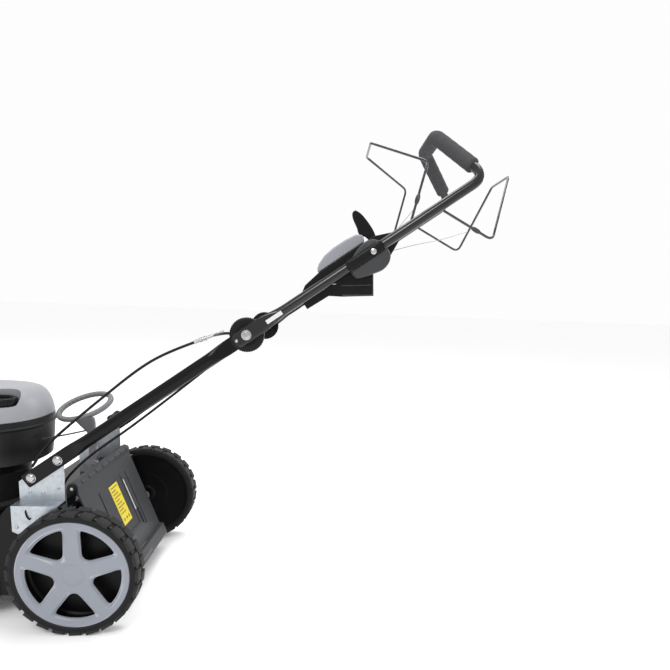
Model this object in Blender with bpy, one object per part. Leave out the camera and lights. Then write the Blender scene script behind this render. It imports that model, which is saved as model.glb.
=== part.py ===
"""Walk-behind petrol lawn mower with a folding, angle-set handle.

Axes: +X to the rear, +Y to the mower's right, +Z up, metres. The ground is z = 0. Everything is
modelled from the rear axle line (x = 0) and parented to an empty that puts the origin under the
middle of the whole machine. The upper handle is modelled along its own tubes, with the angle
joint's axis as origin: u runs up the tube, w stands square to it, away from the operator.
"""
import math

import bmesh
import bpy
from mathutils import Matrix, Vector

for old in list(bpy.data.objects):
    bpy.data.objects.remove(old, do_unlink=True)

# Clearances
GAP = 0.0003            # between faces that touch
RUN = 0.0005            # radial play of a turning piece
SWING = 0.0020          # beside a swinging piece

# Wheels and axles
REAR_WHEEL_R = 0.140
FRONT_WHEEL_R = 0.100
REAR_RIM_R = 0.1208
FRONT_RIM_R = 0.082
REAR_TYRE_W = 0.048
FRONT_TYRE_W = 0.043
TREAD_DEPTH = 0.003
WHEEL_STEPS = 24
WHEELBASE = 0.600
HALF_WIDTH = 0.270      # to the outer face of the tyres
AXLE_R = 0.0070
AXLE_ARM_T = 0.004
AXLE_CRANK = 0.100      # length of the arm beside the deck

# Deck
DECK_R = 0.250
SHAFT_X = -0.330        # crankshaft and middle of the blade
SHEET = 0.003
SKIRT_Z = 0.057
DECK_TOP_Z = 0.205
HUMP_TOP_Z = 0.268
DECK_REAR_X = -0.030
HUMP_HALF = 0.205
HUMP_START = 0.125      # behind the crankshaft
NOSE_X = SHAFT_X - DECK_R + 0.003
NOSE_HALF = 0.150
SHAFT_HOLE_R = 0.030

# Crankshaft, blade and drive
SHAFT_R = 0.0125
SHAFT_LOW_Z = 0.087
BLADE_R = 0.230
BLADE_W = 0.055
BLADE_T = 0.004
BELT_Z = 0.178
CRANK_PULLEY_R = 0.028
DRIVE_PULLEY_R = 0.038
BELT_T = 0.006
BELT_W = 0.009
DRIVE_X = -0.070

# Engine
ENGINE_A = 0.182        # half length of the shroud, along X
ENGINE_B = 0.145        # half width of the shroud
ENGINE_REAR_X = -0.161
ENGINE_X = ENGINE_REAR_X - ENGINE_A
CASE_R = 0.105
CASE_FLANGE_R = 0.112
CASE_TOP_Z = 0.310
SHROUD_LOW_Z = 0.322
LIP_Z = 0.4120
COVER_LOW_Z = 0.4300
COVER_TOP_Z = 0.5000
SHROUD_WALL = 0.003
FLYWHEEL_R = 0.085
CAP_X, CAP_Y = -0.232, -0.070
CAP_R = 0.031
CAP_H = 0.017
CAP_WELL_Z = 0.466

# Handle
HANDLE_TILT = math.radians(35.2)
LOWER_LENGTH = 0.600
FOOT_X, FOOT_Z = -0.134287, 0.315141        # lower end of the handle, on its brackets
PIVOT_X = FOOT_X + LOWER_LENGTH * math.cos(HANDLE_TILT)
PIVOT_Z = FOOT_Z + LOWER_LENGTH * math.sin(HANDLE_TILT)
ARM_Y = 0.180
UPPER_TUBE_R = 0.0110
LOWER_TUBE_H = 0.0140   # half height of the lower tube's section
LOWER_TUBE_B = 0.0095   # half breadth
FLAT_H = 0.0165
LOWER_END_T = 0.008
PIVOT_FLAT_T = 0.006
DISC_R = 0.038
DISC_T = 0.004
DISC_TEETH = 18
FRONT_BOLT_U = 0.017 - LOWER_LENGTH
REAR_BOLT_U = 0.090 - LOWER_LENGTH
FLAT_END_U = 0.120 - LOWER_LENGTH
LOOP_U = 0.615          # where the arms turn up into the loop
GRIP_U, GRIP_W = 0.598, 0.136
GRIP_HALF = 0.075
GRIP_R = 0.017
BOLT_R = 0.0040
PLATE_T = 0.003

# Bails
BAIL_R = 0.0030
BAIL_Y = ARM_Y - UPPER_TUBE_R - BAIL_R - 0.003
DRIVE_BAIL_U = 0.500
BRAKE_BAIL_U = 0.425

# Console on the upper handle
CONSOLE_U = 0.140
CONSOLE_HALF = 0.160

THROTTLE_U, THROTTLE_W = 0.356, 0.000
THROTTLE_HUB_R = 0.009
THROTTLE_Y = (-0.062, -0.050)

# Rear flap
FLAP_X, FLAP_Z = -0.038, 0.297
FLAP_HALF = 0.163
FLAP_LENGTH = 0.272
FLAP_SLOPE = math.radians(21.0)
FLAP_T = 0.004
FLAP_ROLL_R = 0.013
FLAP_ROD_R = 0.0035

# Cutting-height lever
LEVER_X, LEVER_Y, LEVER_Z = -0.072, 0.030, 0.290
RING_X, RING_Z = -0.086, 0.447
RING_A, RING_B = 0.066, 0.045
RING_T = 0.0065
RING_PITCH = math.radians(14.0)
RING_ROLL = math.radians(30.0)

# Pull starter
ROPE_START = (-0.1575, -0.050, 0.380)
ROPE_END = (-0.080, 0.146, 0.368)
PULL_AXIS = (0.60, -0.15, 0.78)
ROPE_R = 0.0020

# The rear end of the whole machine is the top bar of the drive bail
REAR_REACH = PIVOT_X + 0.700 * math.cos(HANDLE_TILT) + 0.028 * math.sin(HANDLE_TILT) + BAIL_R
FRONT_REACH = WHEELBASE + FRONT_WHEEL_R
ORIGIN_SHIFT = (FRONT_REACH - REAR_REACH) / 2


# ---------------------------------------------------------------- materials

def finish(name, colour, roughness, metallic=0.0):
    material = bpy.data.materials.new(name)
    material.use_nodes = True
    shader = material.node_tree.nodes["Principled BSDF"]
    shader.inputs["Base Color"].default_value = (*colour, 1.0)
    shader.inputs["Roughness"].default_value = roughness
    shader.inputs["Metallic"].default_value = metallic
    material.diffuse_color = (*colour, 1.0)
    return material


BLACK_STEEL = finish("black_paint", (0.012, 0.012, 0.013), 0.35)
GALVANISED = finish("galvanised_steel", (0.55, 0.58, 0.62), 0.35, 0.9)
BRIGHT_STEEL = finish("bright_steel", (0.70, 0.70, 0.70), 0.25, 1.0)
ALUMINIUM = finish("cast_aluminium", (0.60, 0.61, 0.62), 0.45, 0.9)
GREY_PLASTIC = finish("light_grey_plastic", (0.33, 0.345, 0.39), 0.40)
DARK_PLASTIC = finish("dark_grey_plastic", (0.060, 0.060, 0.063), 0.50)
BLACK_PLASTIC = finish("black_plastic", (0.015, 0.015, 0.016), 0.45)
RUBBER = finish("tyre_rubber", (0.022, 0.022, 0.023), 0.80)
FOAM = finish("foam", (0.075, 0.075, 0.080), 0.95)
CABLE = finish("cable_sheath", (0.010, 0.010, 0.010), 0.40)


# ---------------------------------------------------------------- frames

def frame(name, location, parent=None, tilt=0.0):
    """An empty; tilt raises its +X end, about its own Y axis."""
    empty = bpy.data.objects.new(name, None)
    bpy.context.collection.objects.link(empty)
    empty.location = location
    empty.rotation_euler = (0.0, -tilt, 0.0)
    empty.parent = parent
    return empty


MACHINE = frame("machine", (ORIGIN_SHIFT, 0.0, 0.0))
LOWER_HANDLE = frame("lower_handle_frame", (PIVOT_X, 0.0, PIVOT_Z), MACHINE, HANDLE_TILT)
UPPER_HANDLE = frame("upper_handle_frame", (PIVOT_X, 0.0, PIVOT_Z), MACHINE, HANDLE_TILT)
FLAP_FRAME = frame("flap_hinge", (FLAP_X, 0.0, FLAP_Z), MACHINE)
HEIGHT_FRAME = frame("height_lever_pivot", (LEVER_X, LEVER_Y, LEVER_Z), MACHINE)


# ---------------------------------------------------------------- mesh helpers

def make(name, bm, material, parent=MACHINE, cutter=False):
    bmesh.ops.remove_doubles(bm, verts=bm.verts, dist=1e-6)
    bmesh.ops.recalc_face_normals(bm, faces=bm.faces)
    mesh = bpy.data.meshes.new(name)
    bm.to_mesh(mesh)
    bm.free()
    mesh.shade_smooth()
    mesh.set_sharp_from_angle(angle=math.radians(35))
    mesh.materials.append(material)
    body = bpy.data.objects.new(name, mesh)
    bpy.context.collection.objects.link(body)
    body.parent = parent
    if cutter:
        body.hide_render = True
        body.display_type = "WIRE"
    return body


def boolean(body, other, operation="DIFFERENCE"):
    modifier = body.modifiers.new(f"{operation.lower()}_{other.name}", "BOOLEAN")
    modifier.operation = operation
    modifier.object = other
    return body


def tool(name, bm, parent=MACHINE):
    return make("cut_" + name, bm, BLACK_STEEL, parent, cutter=True)


def loft(rings, closed=False):
    """A solid through rings of equal counts; its ends are capped unless it closes on itself."""
    bm = bmesh.new()
    loops = [[bm.verts.new(point) for point in ring] for ring in rings]
    count = len(loops[0])
    pairs = list(zip(loops, loops[1:]))
    if closed:
        pairs.append((loops[-1], loops[0]))
    else:
        bm.faces.new(loops[0])
        bm.faces.new(loops[-1])
    for low, high in pairs:
        for i in range(count):
            j = (i + 1) % count
            bm.faces.new((low[i], low[j], high[j], high[i]))
    return bm


def extrude_y(outline, low, high):
    return loft([[Vector((x, y, z)) for x, z in outline] for y in (low, high)])


def extrude_z(outline, low, high):
    return loft([[Vector((x, y, z)) for x, y in outline] for z in (low, high)])


def block(x, y, z, chamfer=0.0):
    """A box from three (low, high) pairs, with its edges along all axes chamfered."""
    bm = bmesh.new()
    bmesh.ops.create_cube(bm, size=1.0)
    size = Vector((x[1] - x[0], y[1] - y[0], z[1] - z[0]))
    middle = Vector((x[1] + x[0], y[1] + y[0], z[1] + z[0])) / 2
    bmesh.ops.transform(bm, matrix=Matrix.Translation(middle) @ Matrix.Diagonal((*size, 1.0)), verts=bm.verts)
    if chamfer:
        bmesh.ops.bevel(bm, geom=list(bm.edges), offset=chamfer, segments=1, affect="EDGES")
    return bm


def turn(profile, axis, centre, steps=24):
    """Turn a closed profile of (radius, offset along the axis) about an axis through centre."""
    along = {"X": Vector((1, 0, 0)), "Y": Vector((0, 1, 0)), "Z": Vector((0, 0, 1))}[axis]
    side = {"X": Vector((0, 1, 0)), "Y": Vector((1, 0, 0)), "Z": Vector((1, 0, 0))}[axis]
    bm = bmesh.new()
    centre = Vector(centre)
    verts = [bm.verts.new(centre + along * t + side * r) for r, t in profile]
    edges = [bm.edges.new((verts[i], verts[(i + 1) % len(verts)])) for i in range(len(verts))]
    on_axis = [edge for edge in edges if all((v.co - centre).cross(along).length < 1e-7 for v in edge.verts)]
    for edge in on_axis:
        bm.edges.remove(edge)
    edges = [edge for edge in edges if edge.is_valid]
    bmesh.ops.spin(bm, geom=verts + edges, cent=centre, axis=along, angle=math.tau, steps=steps, use_merge=True)
    bmesh.ops.remove_doubles(bm, verts=bm.verts, dist=1e-6)
    return bm


def circle(radius, steps, start=0.0):
    return [(radius * math.cos(start + math.tau * i / steps), radius * math.sin(start + math.tau * i / steps))
            for i in range(steps)]


def inset(outline, distance):
    """Move every side of a counter-clockwise outline inwards."""
    moved = []
    count = len(outline)
    for i in range(count):
        before, here, after = (Vector(outline[(i + k) % count]) for k in (-1, 0, 1))
        first = (here - before).normalized()
        second = (after - here).normalized()
        normal = Vector((-first.y - second.y, first.x + second.x)).normalized()
        reach = distance / max(0.3, normal.dot(Vector((-first.y, first.x))))
        moved.append(tuple(here + normal * reach))
    return moved


def fillet(points, radius, steps=5):
    """A path through points with its corners rounded; each corner takes one radius."""
    points = [Vector(p) for p in points]
    path = [points[0]]
    for before, here, after in zip(points, points[1:], points[2:]):
        back = (before - here).normalized()
        ahead = (after - here).normalized()
        half = back.angle(ahead) / 2
        reach = min(radius / math.tan(half), 0.45 * (before - here).length, 0.45 * (after - here).length)
        start, end = here + back * reach, here + ahead * reach
        for i in range(steps + 1):
            t = i / steps
            path.append(start.lerp(here, t).lerp(here.lerp(end, t), t))
    path.append(points[-1])
    return path


def wire(path, radius, steps=8):
    """A round wire or tube along any path."""
    return loft(wire_rings(path, radius, steps))


def wire_rings(path, radius, steps):
    """Round section rings along any path, carried without twist."""
    tangent = (path[1] - path[0]).normalized()
    side = tangent.orthogonal().normalized()
    rings = []
    for i, point in enumerate(path):
        ahead = (path[min(i + 1, len(path) - 1)] - path[max(i - 1, 0)]).normalized()
        side = (side - ahead * side.dot(ahead)).normalized()
        up = ahead.cross(side)
        rings.append([point + (side * math.cos(a) + up * math.sin(a)) * radius
                      for a in (math.tau * k / steps for k in range(steps))])
    return rings


def smooth_path(points, spacing):
    """Points read at even steps from a smooth curve through the route's own points."""
    points = [Vector(p) for p in points]
    ends = [points[0] * 2 - points[1]] + points + [points[-1] * 2 - points[-2]]
    fine = []
    for p0, p1, p2, p3 in zip(ends, ends[1:], ends[2:], ends[3:]):
        for k in range(20):
            t = k / 20
            fine.append(0.5 * ((2 * p1) + (p2 - p0) * t + (2 * p0 - 5 * p1 + 4 * p2 - p3) * t * t
                               + (3 * p1 - p0 - 3 * p2 + p3) * t * t * t))
    fine.append(points[-1])
    total = sum((b - a).length for a, b in zip(fine, fine[1:]))
    steps = max(2, round(total / spacing))
    path, walked, target = [fine[0]], 0.0, total / steps
    for a, b in zip(fine, fine[1:]):
        walked += (b - a).length
        if walked >= target and len(path) < steps:
            path.append(b)
            target += total / steps
    return path + [points[-1]]


def cable(name, route, radius, parent):
    """A poly curve with a round bevel and filled caps."""
    path = smooth_path(route, radius * 6)
    curve = bpy.data.curves.new(name, "CURVE")
    curve.dimensions = "3D"
    curve.bevel_depth = radius
    curve.bevel_resolution = 2
    curve.use_fill_caps = True
    spline = curve.splines.new("POLY")
    spline.points.add(len(path) - 1)
    for point, place in zip(spline.points, path):
        point.co = (*place, 1.0)
    curve.materials.append(CABLE)
    body = bpy.data.objects.new(name, curve)
    bpy.context.collection.objects.link(body)
    body.parent = parent
    return body


SIDES = (("left", -1), ("right", 1))


# ---------------------------------------------------------------- wheels

def tyre(name, x, y, radius, rim_r, width):
    """A ring with cross lugs, turned so that it stands on a flat lug."""
    half = width / 2
    shoulder = 0.005
    flat = 1 / math.cos(math.pi / WHEEL_STEPS)
    bore = (rim_r + GAP) * flat
    low = radius - TREAD_DEPTH
    rings = []
    for i in range(WHEEL_STEPS):
        angle = math.tau * (i + 0.5) / WHEEL_STEPS
        outer = low if i % 3 == 1 else radius * flat
        section = [(bore, -half), (low - shoulder, -half), (outer, -half + shoulder), (outer, half - shoulder),
                   (low - shoulder, half), (bore, half)]
        rings.append([Vector((x + r * math.sin(angle), y + t, radius - r * math.cos(angle))) for r, t in section])
    return make(name, loft(rings, closed=True), RUBBER)


def window(x, y, z, inner, outer, spoke_in, spoke_out, index, depth):
    """One opening between two of five spokes, as a prism along Y."""
    middle = math.tau * (index + 0.5) / 5
    reach_in = math.pi / 5 - math.asin(spoke_in / inner)
    reach_out = math.pi / 5 - math.asin(spoke_out / outer)
    polar = [(inner, -reach_in), (inner, reach_in)]
    polar += [(outer * 0.93, reach_out + 0.02)]
    polar += [(outer, reach_out * (1 - k)) for k in range(3)]
    polar += [(outer * 0.93, -reach_out - 0.02)]
    outline = [(x + r * math.sin(middle + a), z + r * math.cos(middle + a)) for r, a in polar]
    return extrude_y(outline, y - depth, y + depth)


def rear_wheel(label, side):
    middle = side * (HALF_WIDTH - REAR_TYRE_W / 2)
    centre = (0.0, middle, REAR_WHEEL_R)
    tyre(f"rear_tyre_{label}", 0.0, middle, REAR_WHEEL_R, REAR_RIM_R, REAR_TYRE_W)
    bore, hub, rim, web = AXLE_R + RUN, 0.020, REAR_RIM_R, 0.110
    dish = [(bore, -0.021), (hub, -0.021), (hub + 0.004, -0.015), (web, -0.018), (rim, -0.021), (rim, 0.012),
            (rim - 0.009, 0.012), (web, -0.014), (hub + 0.004, -0.011), (hub, 0.012), (bore, 0.012)]
    make(f"rear_wheel_body_{label}", turn([(r, side * t) for r, t in dish], "Y", centre, WHEEL_STEPS), BLACK_PLASTIC)
    seat = 0.012 + GAP
    face = [(0.0, seat), (rim, seat), (rim, 0.022), (0.108, 0.022), (0.105, 0.0185), (0.030, 0.0185),
            (0.026, 0.0215), (0.0, 0.0215)]
    cover = make(f"rear_wheel_cover_{label}",
                 turn([(r, side * t) for r, t in face], "Y", centre, WHEEL_STEPS), GREY_PLASTIC)
    for i in range(5):
        shape = window(0.0, middle + side * 0.017, REAR_WHEEL_R, 0.044, 0.102, 0.0135, 0.0180, i, 0.0060)
        boolean(cover, tool(f"window_rear_{label}_{i}", shape))


def front_wheel(label, side):
    middle = side * (HALF_WIDTH - FRONT_TYRE_W / 2)
    centre = (-WHEELBASE, middle, FRONT_WHEEL_R)
    tyre(f"front_tyre_{label}", -WHEELBASE, middle, FRONT_WHEEL_R, FRONT_RIM_R, FRONT_TYRE_W)
    bore, rim = AXLE_R + RUN, FRONT_RIM_R
    shape = [(bore, -0.018), (0.016, -0.018), (0.018, 0.006), (rim - 0.012, 0.006), (rim - 0.008, -0.018),
             (rim, -0.018), (rim, 0.018), (rim - 0.010, 0.018), (rim - 0.013, 0.013), (0.024, 0.013), (0.020, 0.016),
             (0.0, 0.016), (0.0, 0.0122), (bore, 0.0122)]
    body = make(f"front_wheel_{label}", turn([(r, side * t) for r, t in shape], "Y", centre, WHEEL_STEPS), GREY_PLASTIC)
    for i in range(5):
        cut = window(-WHEELBASE, middle + side * 0.010, FRONT_WHEEL_R, 0.032, 0.064, 0.0095, 0.0125, i, 0.0080)
        boolean(body, tool(f"window_front_{label}_{i}", cut))


# ---------------------------------------------------------------- deck and axles

def deck_outline():
    """Counter-clockwise plan of the deck: a round bowl with a flat nose and straight sides behind."""
    rear_half = HUMP_HALF - 0.0015
    rear_turn = math.asin(rear_half / DECK_R)
    front_turn = math.radians(124.0)
    steps = 10
    right = [(NOSE_X, 0.0), (NOSE_X, NOSE_HALF), (NOSE_X + 0.055, 0.197)]
    for i in range(steps + 1):
        angle = front_turn + (rear_turn - front_turn) * i / steps
        right.append((SHAFT_X + DECK_R * math.cos(angle), DECK_R * math.sin(angle)))
    right.append((DECK_REAR_X, rear_half))
    return list(reversed(right)) + [(x, -y) for x, y in right[1:]]


def hump_profile(wall):
    """Side profile of the rear hump, inset by a wall; the cavity runs out of the back."""
    front, slope, flat = SHAFT_X + HUMP_START, 0.030, 0.015
    back = DECK_REAR_X + (0.05 if wall else 0.0)
    low = SKIRT_Z - 0.02 if wall else SKIRT_Z + 0.045
    return [(front + wall, low), (back, low), (back, HUMP_TOP_Z - wall),
            (front + slope + flat + wall * 0.5, HUMP_TOP_Z - wall),
            (front + slope + wall * 0.7, HUMP_TOP_Z - 0.018 - wall),
            (front + wall, DECK_TOP_Z - 0.015 - wall)]


def deck():
    plan = deck_outline()
    shell = make("deck", loft([[Vector((x, y, z)) for x, y in ring] for ring, z in (
        (plan, SKIRT_Z), (plan, DECK_TOP_Z - 0.012), (inset(plan, 0.004), DECK_TOP_Z - 0.003),
        (inset(plan, 0.012), DECK_TOP_Z))]), BLACK_STEEL)
    boolean(shell, tool("deck_hump", extrude_y(hump_profile(0.0), -HUMP_HALF, HUMP_HALF)), "UNION")
    inner = inset(plan, SHEET)
    boolean(shell, tool("deck_bowl", loft([[Vector((x, y, z)) for x, y in ring] for ring, z in (
        (inner, SKIRT_Z - 0.02), (inner, DECK_TOP_Z - 0.012), (inset(inner, 0.006), DECK_TOP_Z - SHEET))])))
    boolean(shell, tool("deck_chute", extrude_y(hump_profile(SHEET), -HUMP_HALF + SHEET, HUMP_HALF - SHEET)))
    for label, side in SIDES:
        span = sorted((side * (FLAP_HALF + SWING), side * (FLAP_HALF + SWING + SHEET)))
        ear = [(FLAP_X - 0.012, HUMP_TOP_Z - 0.002), (FLAP_X + 0.006, HUMP_TOP_Z - 0.002), (FLAP_X + 0.010, FLAP_Z),
               (FLAP_X + 0.006, FLAP_Z + 0.009), (FLAP_X - 0.006, FLAP_Z + 0.009), (FLAP_X - 0.012, FLAP_Z)]
        boolean(shell, tool(f"deck_ear_{label}", extrude_y(ear, *span)), "UNION")
    ear_bore = FLAP_ROD_R + GAP
    boolean(shell, tool("deck_ear_bore", turn([(0, -0.2), (ear_bore, -0.2), (ear_bore, 0.2), (0, 0.2)], "Y",
                                              (FLAP_X, 0, FLAP_Z), 12)))
    hole = turn([(0, -0.02), (SHAFT_HOLE_R, -0.02), (SHAFT_HOLE_R, 0.02), (0, 0.02)], "Z",
                (SHAFT_X, 0, DECK_TOP_Z), 20)
    boolean(shell, tool("deck_shaft_hole", hole))


def front_end():
    """Axle cradle, axle and plastic nose in front of the deck."""
    axle_z = FRONT_WHEEL_R
    reach = HALF_WIDTH - FRONT_TYRE_W / 2 + 0.0118
    make("front_axle", turn([(0, -reach), (AXLE_R, -reach), (AXLE_R, reach), (0, reach)], "Y",
                            (-WHEELBASE, 0, axle_z), 16), BRIGHT_STEEL)
    front, back, half = -WHEELBASE - 0.028, NOSE_X - GAP, 0.186
    low, high = axle_z - 0.020, axle_z + 0.055
    cradle = make("front_cradle", block((front, back), (-half, half), (low, high)), BLACK_STEEL)
    inner = half - SHEET
    boolean(cradle, tool("cradle_channel", block((front - 0.01, back + 0.01), (-inner, inner),
                                                 (low - 0.01, high - SHEET))))
    bore = AXLE_R + GAP
    boolean(cradle, tool("cradle_bore", turn([(0, -0.2), (bore, -0.2), (bore, 0.2), (0, 0.2)], "Y",
                                             (-WHEELBASE, 0, axle_z), 16)))
    skin, top = 0.004, DECK_TOP_Z + GAP + 0.004
    outer = [(NOSE_X + 0.040, top), (NOSE_X - 0.004, top), (front - 0.010, top - 0.010), (front - 0.030, top - 0.040),
             (front - 0.035, 0.085)]
    inner = [(front - 0.035 + skin, 0.085), (front - 0.030 + skin, top - 0.041), (front - 0.008, top - 0.014),
             (NOSE_X - 0.004, top - skin), (NOSE_X + 0.040, top - skin)]
    make("front_nose", extrude_y(outer + inner, -0.190, 0.190), DARK_PLASTIC)


def rear_axle():
    """One cranked piece: the axle rod between the wheels and an arm at each side of the deck."""
    reach = HALF_WIDTH - REAR_TYRE_W / 2 + 0.0118
    rod = make("rear_axle", turn([(0, -reach), (AXLE_R, -reach), (AXLE_R, reach), (0, reach)], "Y",
                                 (0, 0, REAR_WHEEL_R), 16), BRIGHT_STEEL)
    for label, side in SIDES:
        low = HUMP_HALF + PLATE_T + 2 * GAP
        ends = sorted((side * low, side * (low + AXLE_ARM_T)))
        arm = [(0.013 * math.cos(a), REAR_WHEEL_R + 0.013 * math.sin(a)) for a in
               (math.radians(d) for d in (-75, -35, 0, 35, 75))]
        back = -AXLE_CRANK
        arm += [(back + 0.012 * math.cos(a), REAR_WHEEL_R + 0.012 + 0.012 * math.sin(a)) for a in
                (math.radians(d) for d in (100, 145, 180, 215, 260))]
        boolean(rod, tool(f"axle_arm_{label}", extrude_y(arm, *ends)), "UNION")


def gearbox():
    """Drive gearbox round the axle, with its input pulley on top."""
    bore = AXLE_R + RUN
    side = [(-0.100, 0.105), (0.0075, 0.105), (0.0075, 0.146), (-0.020, 0.163), (-0.100, 0.163)]
    case = make("drive_gearbox", extrude_y(side, -0.045, 0.045), ALUMINIUM)
    groove = DRIVE_PULLEY_R
    wheel = [(0, 0.155), (0.010, 0.155), (0.010, BELT_Z - 0.008), (groove + 0.006, BELT_Z - 0.008),
             (groove + 0.006, BELT_Z - 0.005), (groove, BELT_Z - 0.005), (groove, BELT_Z + 0.005),
             (groove + 0.006, BELT_Z + 0.005), (groove + 0.006, BELT_Z + 0.008), (0, BELT_Z + 0.008)]
    boolean(case, tool("gearbox_pulley", turn(wheel, "Z", (DRIVE_X, 0, 0), 24)), "UNION")
    boolean(case, tool("gearbox_bore", turn([(0, -0.2), (bore, -0.2), (bore, 0.2), (0, 0.2)], "Y",
                                            (0, 0, REAR_WHEEL_R), 16)))


def drive_belt():
    """A loop round both pulleys, a hair clear of their grooves."""
    def track(extra):
        small, big = CRANK_PULLEY_R + extra, DRIVE_PULLEY_R + extra
        spread = DRIVE_X - SHAFT_X
        lean = math.acos((small - big) / spread)
        points = []
        for k in range(13):
            angle = -lean + 2 * lean * k / 12
            points.append((DRIVE_X + big * math.cos(angle), big * math.sin(angle)))
        for k in range(13):
            angle = lean + 2 * (math.pi - lean) * k / 12
            points.append((SHAFT_X + small * math.cos(angle), small * math.sin(angle)))
        return points
    slack = 0.0012
    belt = make("drive_belt", extrude_z(track(slack + BELT_T), BELT_Z - BELT_W / 2, BELT_Z + BELT_W / 2), RUBBER)
    boolean(belt, tool("belt_inside", extrude_z(track(slack), BELT_Z - BELT_W, BELT_Z + BELT_W)))


# ---------------------------------------------------------------- blade and crankshaft

def cutting_gear():
    pulley = CRANK_PULLEY_R
    hub_low = SHAFT_LOW_Z
    shaft = [(0, hub_low), (0.030, hub_low), (0.030, hub_low + 0.012), (0.018, hub_low + 0.020),
             (0.018, BELT_Z - 0.010), (pulley + 0.006, BELT_Z - 0.008), (pulley + 0.006, BELT_Z - 0.005),
             (pulley, BELT_Z - 0.005), (pulley, BELT_Z + 0.005), (pulley - 0.002, BELT_Z + 0.006),
             (SHAFT_R, BELT_Z + 0.010), (SHAFT_R, CASE_TOP_Z + 0.030), (0, CASE_TOP_Z + 0.030)]
    make("crankshaft", turn(shaft, "Z", (SHAFT_X, 0, 0), 20), BRIGHT_STEEL)
    high = hub_low - GAP
    low = high - BLADE_T
    half = BLADE_W / 2
    tip = BLADE_R * 0.72
    plan = [(-BLADE_R, -half), (BLADE_R * 0.97, -half * 0.9), (BLADE_R, -half * 0.2), (BLADE_R, half * 0.6),
            (tip, half * 0.75), (tip * 0.9, half), (-BLADE_R * 0.97, half * 0.9), (-BLADE_R, half * 0.2)]
    plan = [(SHAFT_X + x, y) for x, y in plan]
    blade = make("blade", extrude_z(plan, low, high), BRIGHT_STEEL)
    for label, side in SIDES:
        wing = [(SHAFT_X + side * x, side * (dy - half)) for x, dy in
                ((0.150, 0.001), (0.215, 0.001), (0.215, 0.006), (0.150, 0.006))]
        boolean(blade, tool(f"blade_wing_{label}", extrude_z(wing, low + 0.001, high + 0.016)),
                "UNION")
    head = [(0, low - GAP - 0.010), (0.011, low - GAP - 0.010), (0.011, low - GAP - 0.002), (0.018, low - GAP - 0.002),
            (0.018, low - GAP), (0, low - GAP)]
    make("blade_bolt", turn(head, "Z", (SHAFT_X, 0, 0), 6), BRIGHT_STEEL)
    base = CASE_TOP_Z + 0.030 + GAP
    disc = [(0, base), (FLYWHEEL_R, base), (FLYWHEEL_R, base + 0.014), (0.030, base + 0.014), (0.026, base + 0.024),
            (0, base + 0.024)]
    make("flywheel", turn(disc, "Z", (SHAFT_X, 0, 0), 24), ALUMINIUM)


# ---------------------------------------------------------------- engine

def rounded_plan(half_x, half_y, count=24, power=2.3):
    """Counter-clockwise rounded outline about the engine's middle."""
    points = []
    for i in range(count):
        angle = math.tau * i / count
        c, s = math.cos(angle), math.sin(angle)
        points.append((ENGINE_X + half_x * math.copysign(abs(c) ** (2 / power), c),
                       half_y * math.copysign(abs(s) ** (2 / power), s)))
    return points


def stack(levels):
    """A loft through (half x, half y, z) levels of the rounded plan."""
    return loft([[Vector((x, y, z)) for x, y in rounded_plan(a, b)] for a, b, z in levels])


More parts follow.
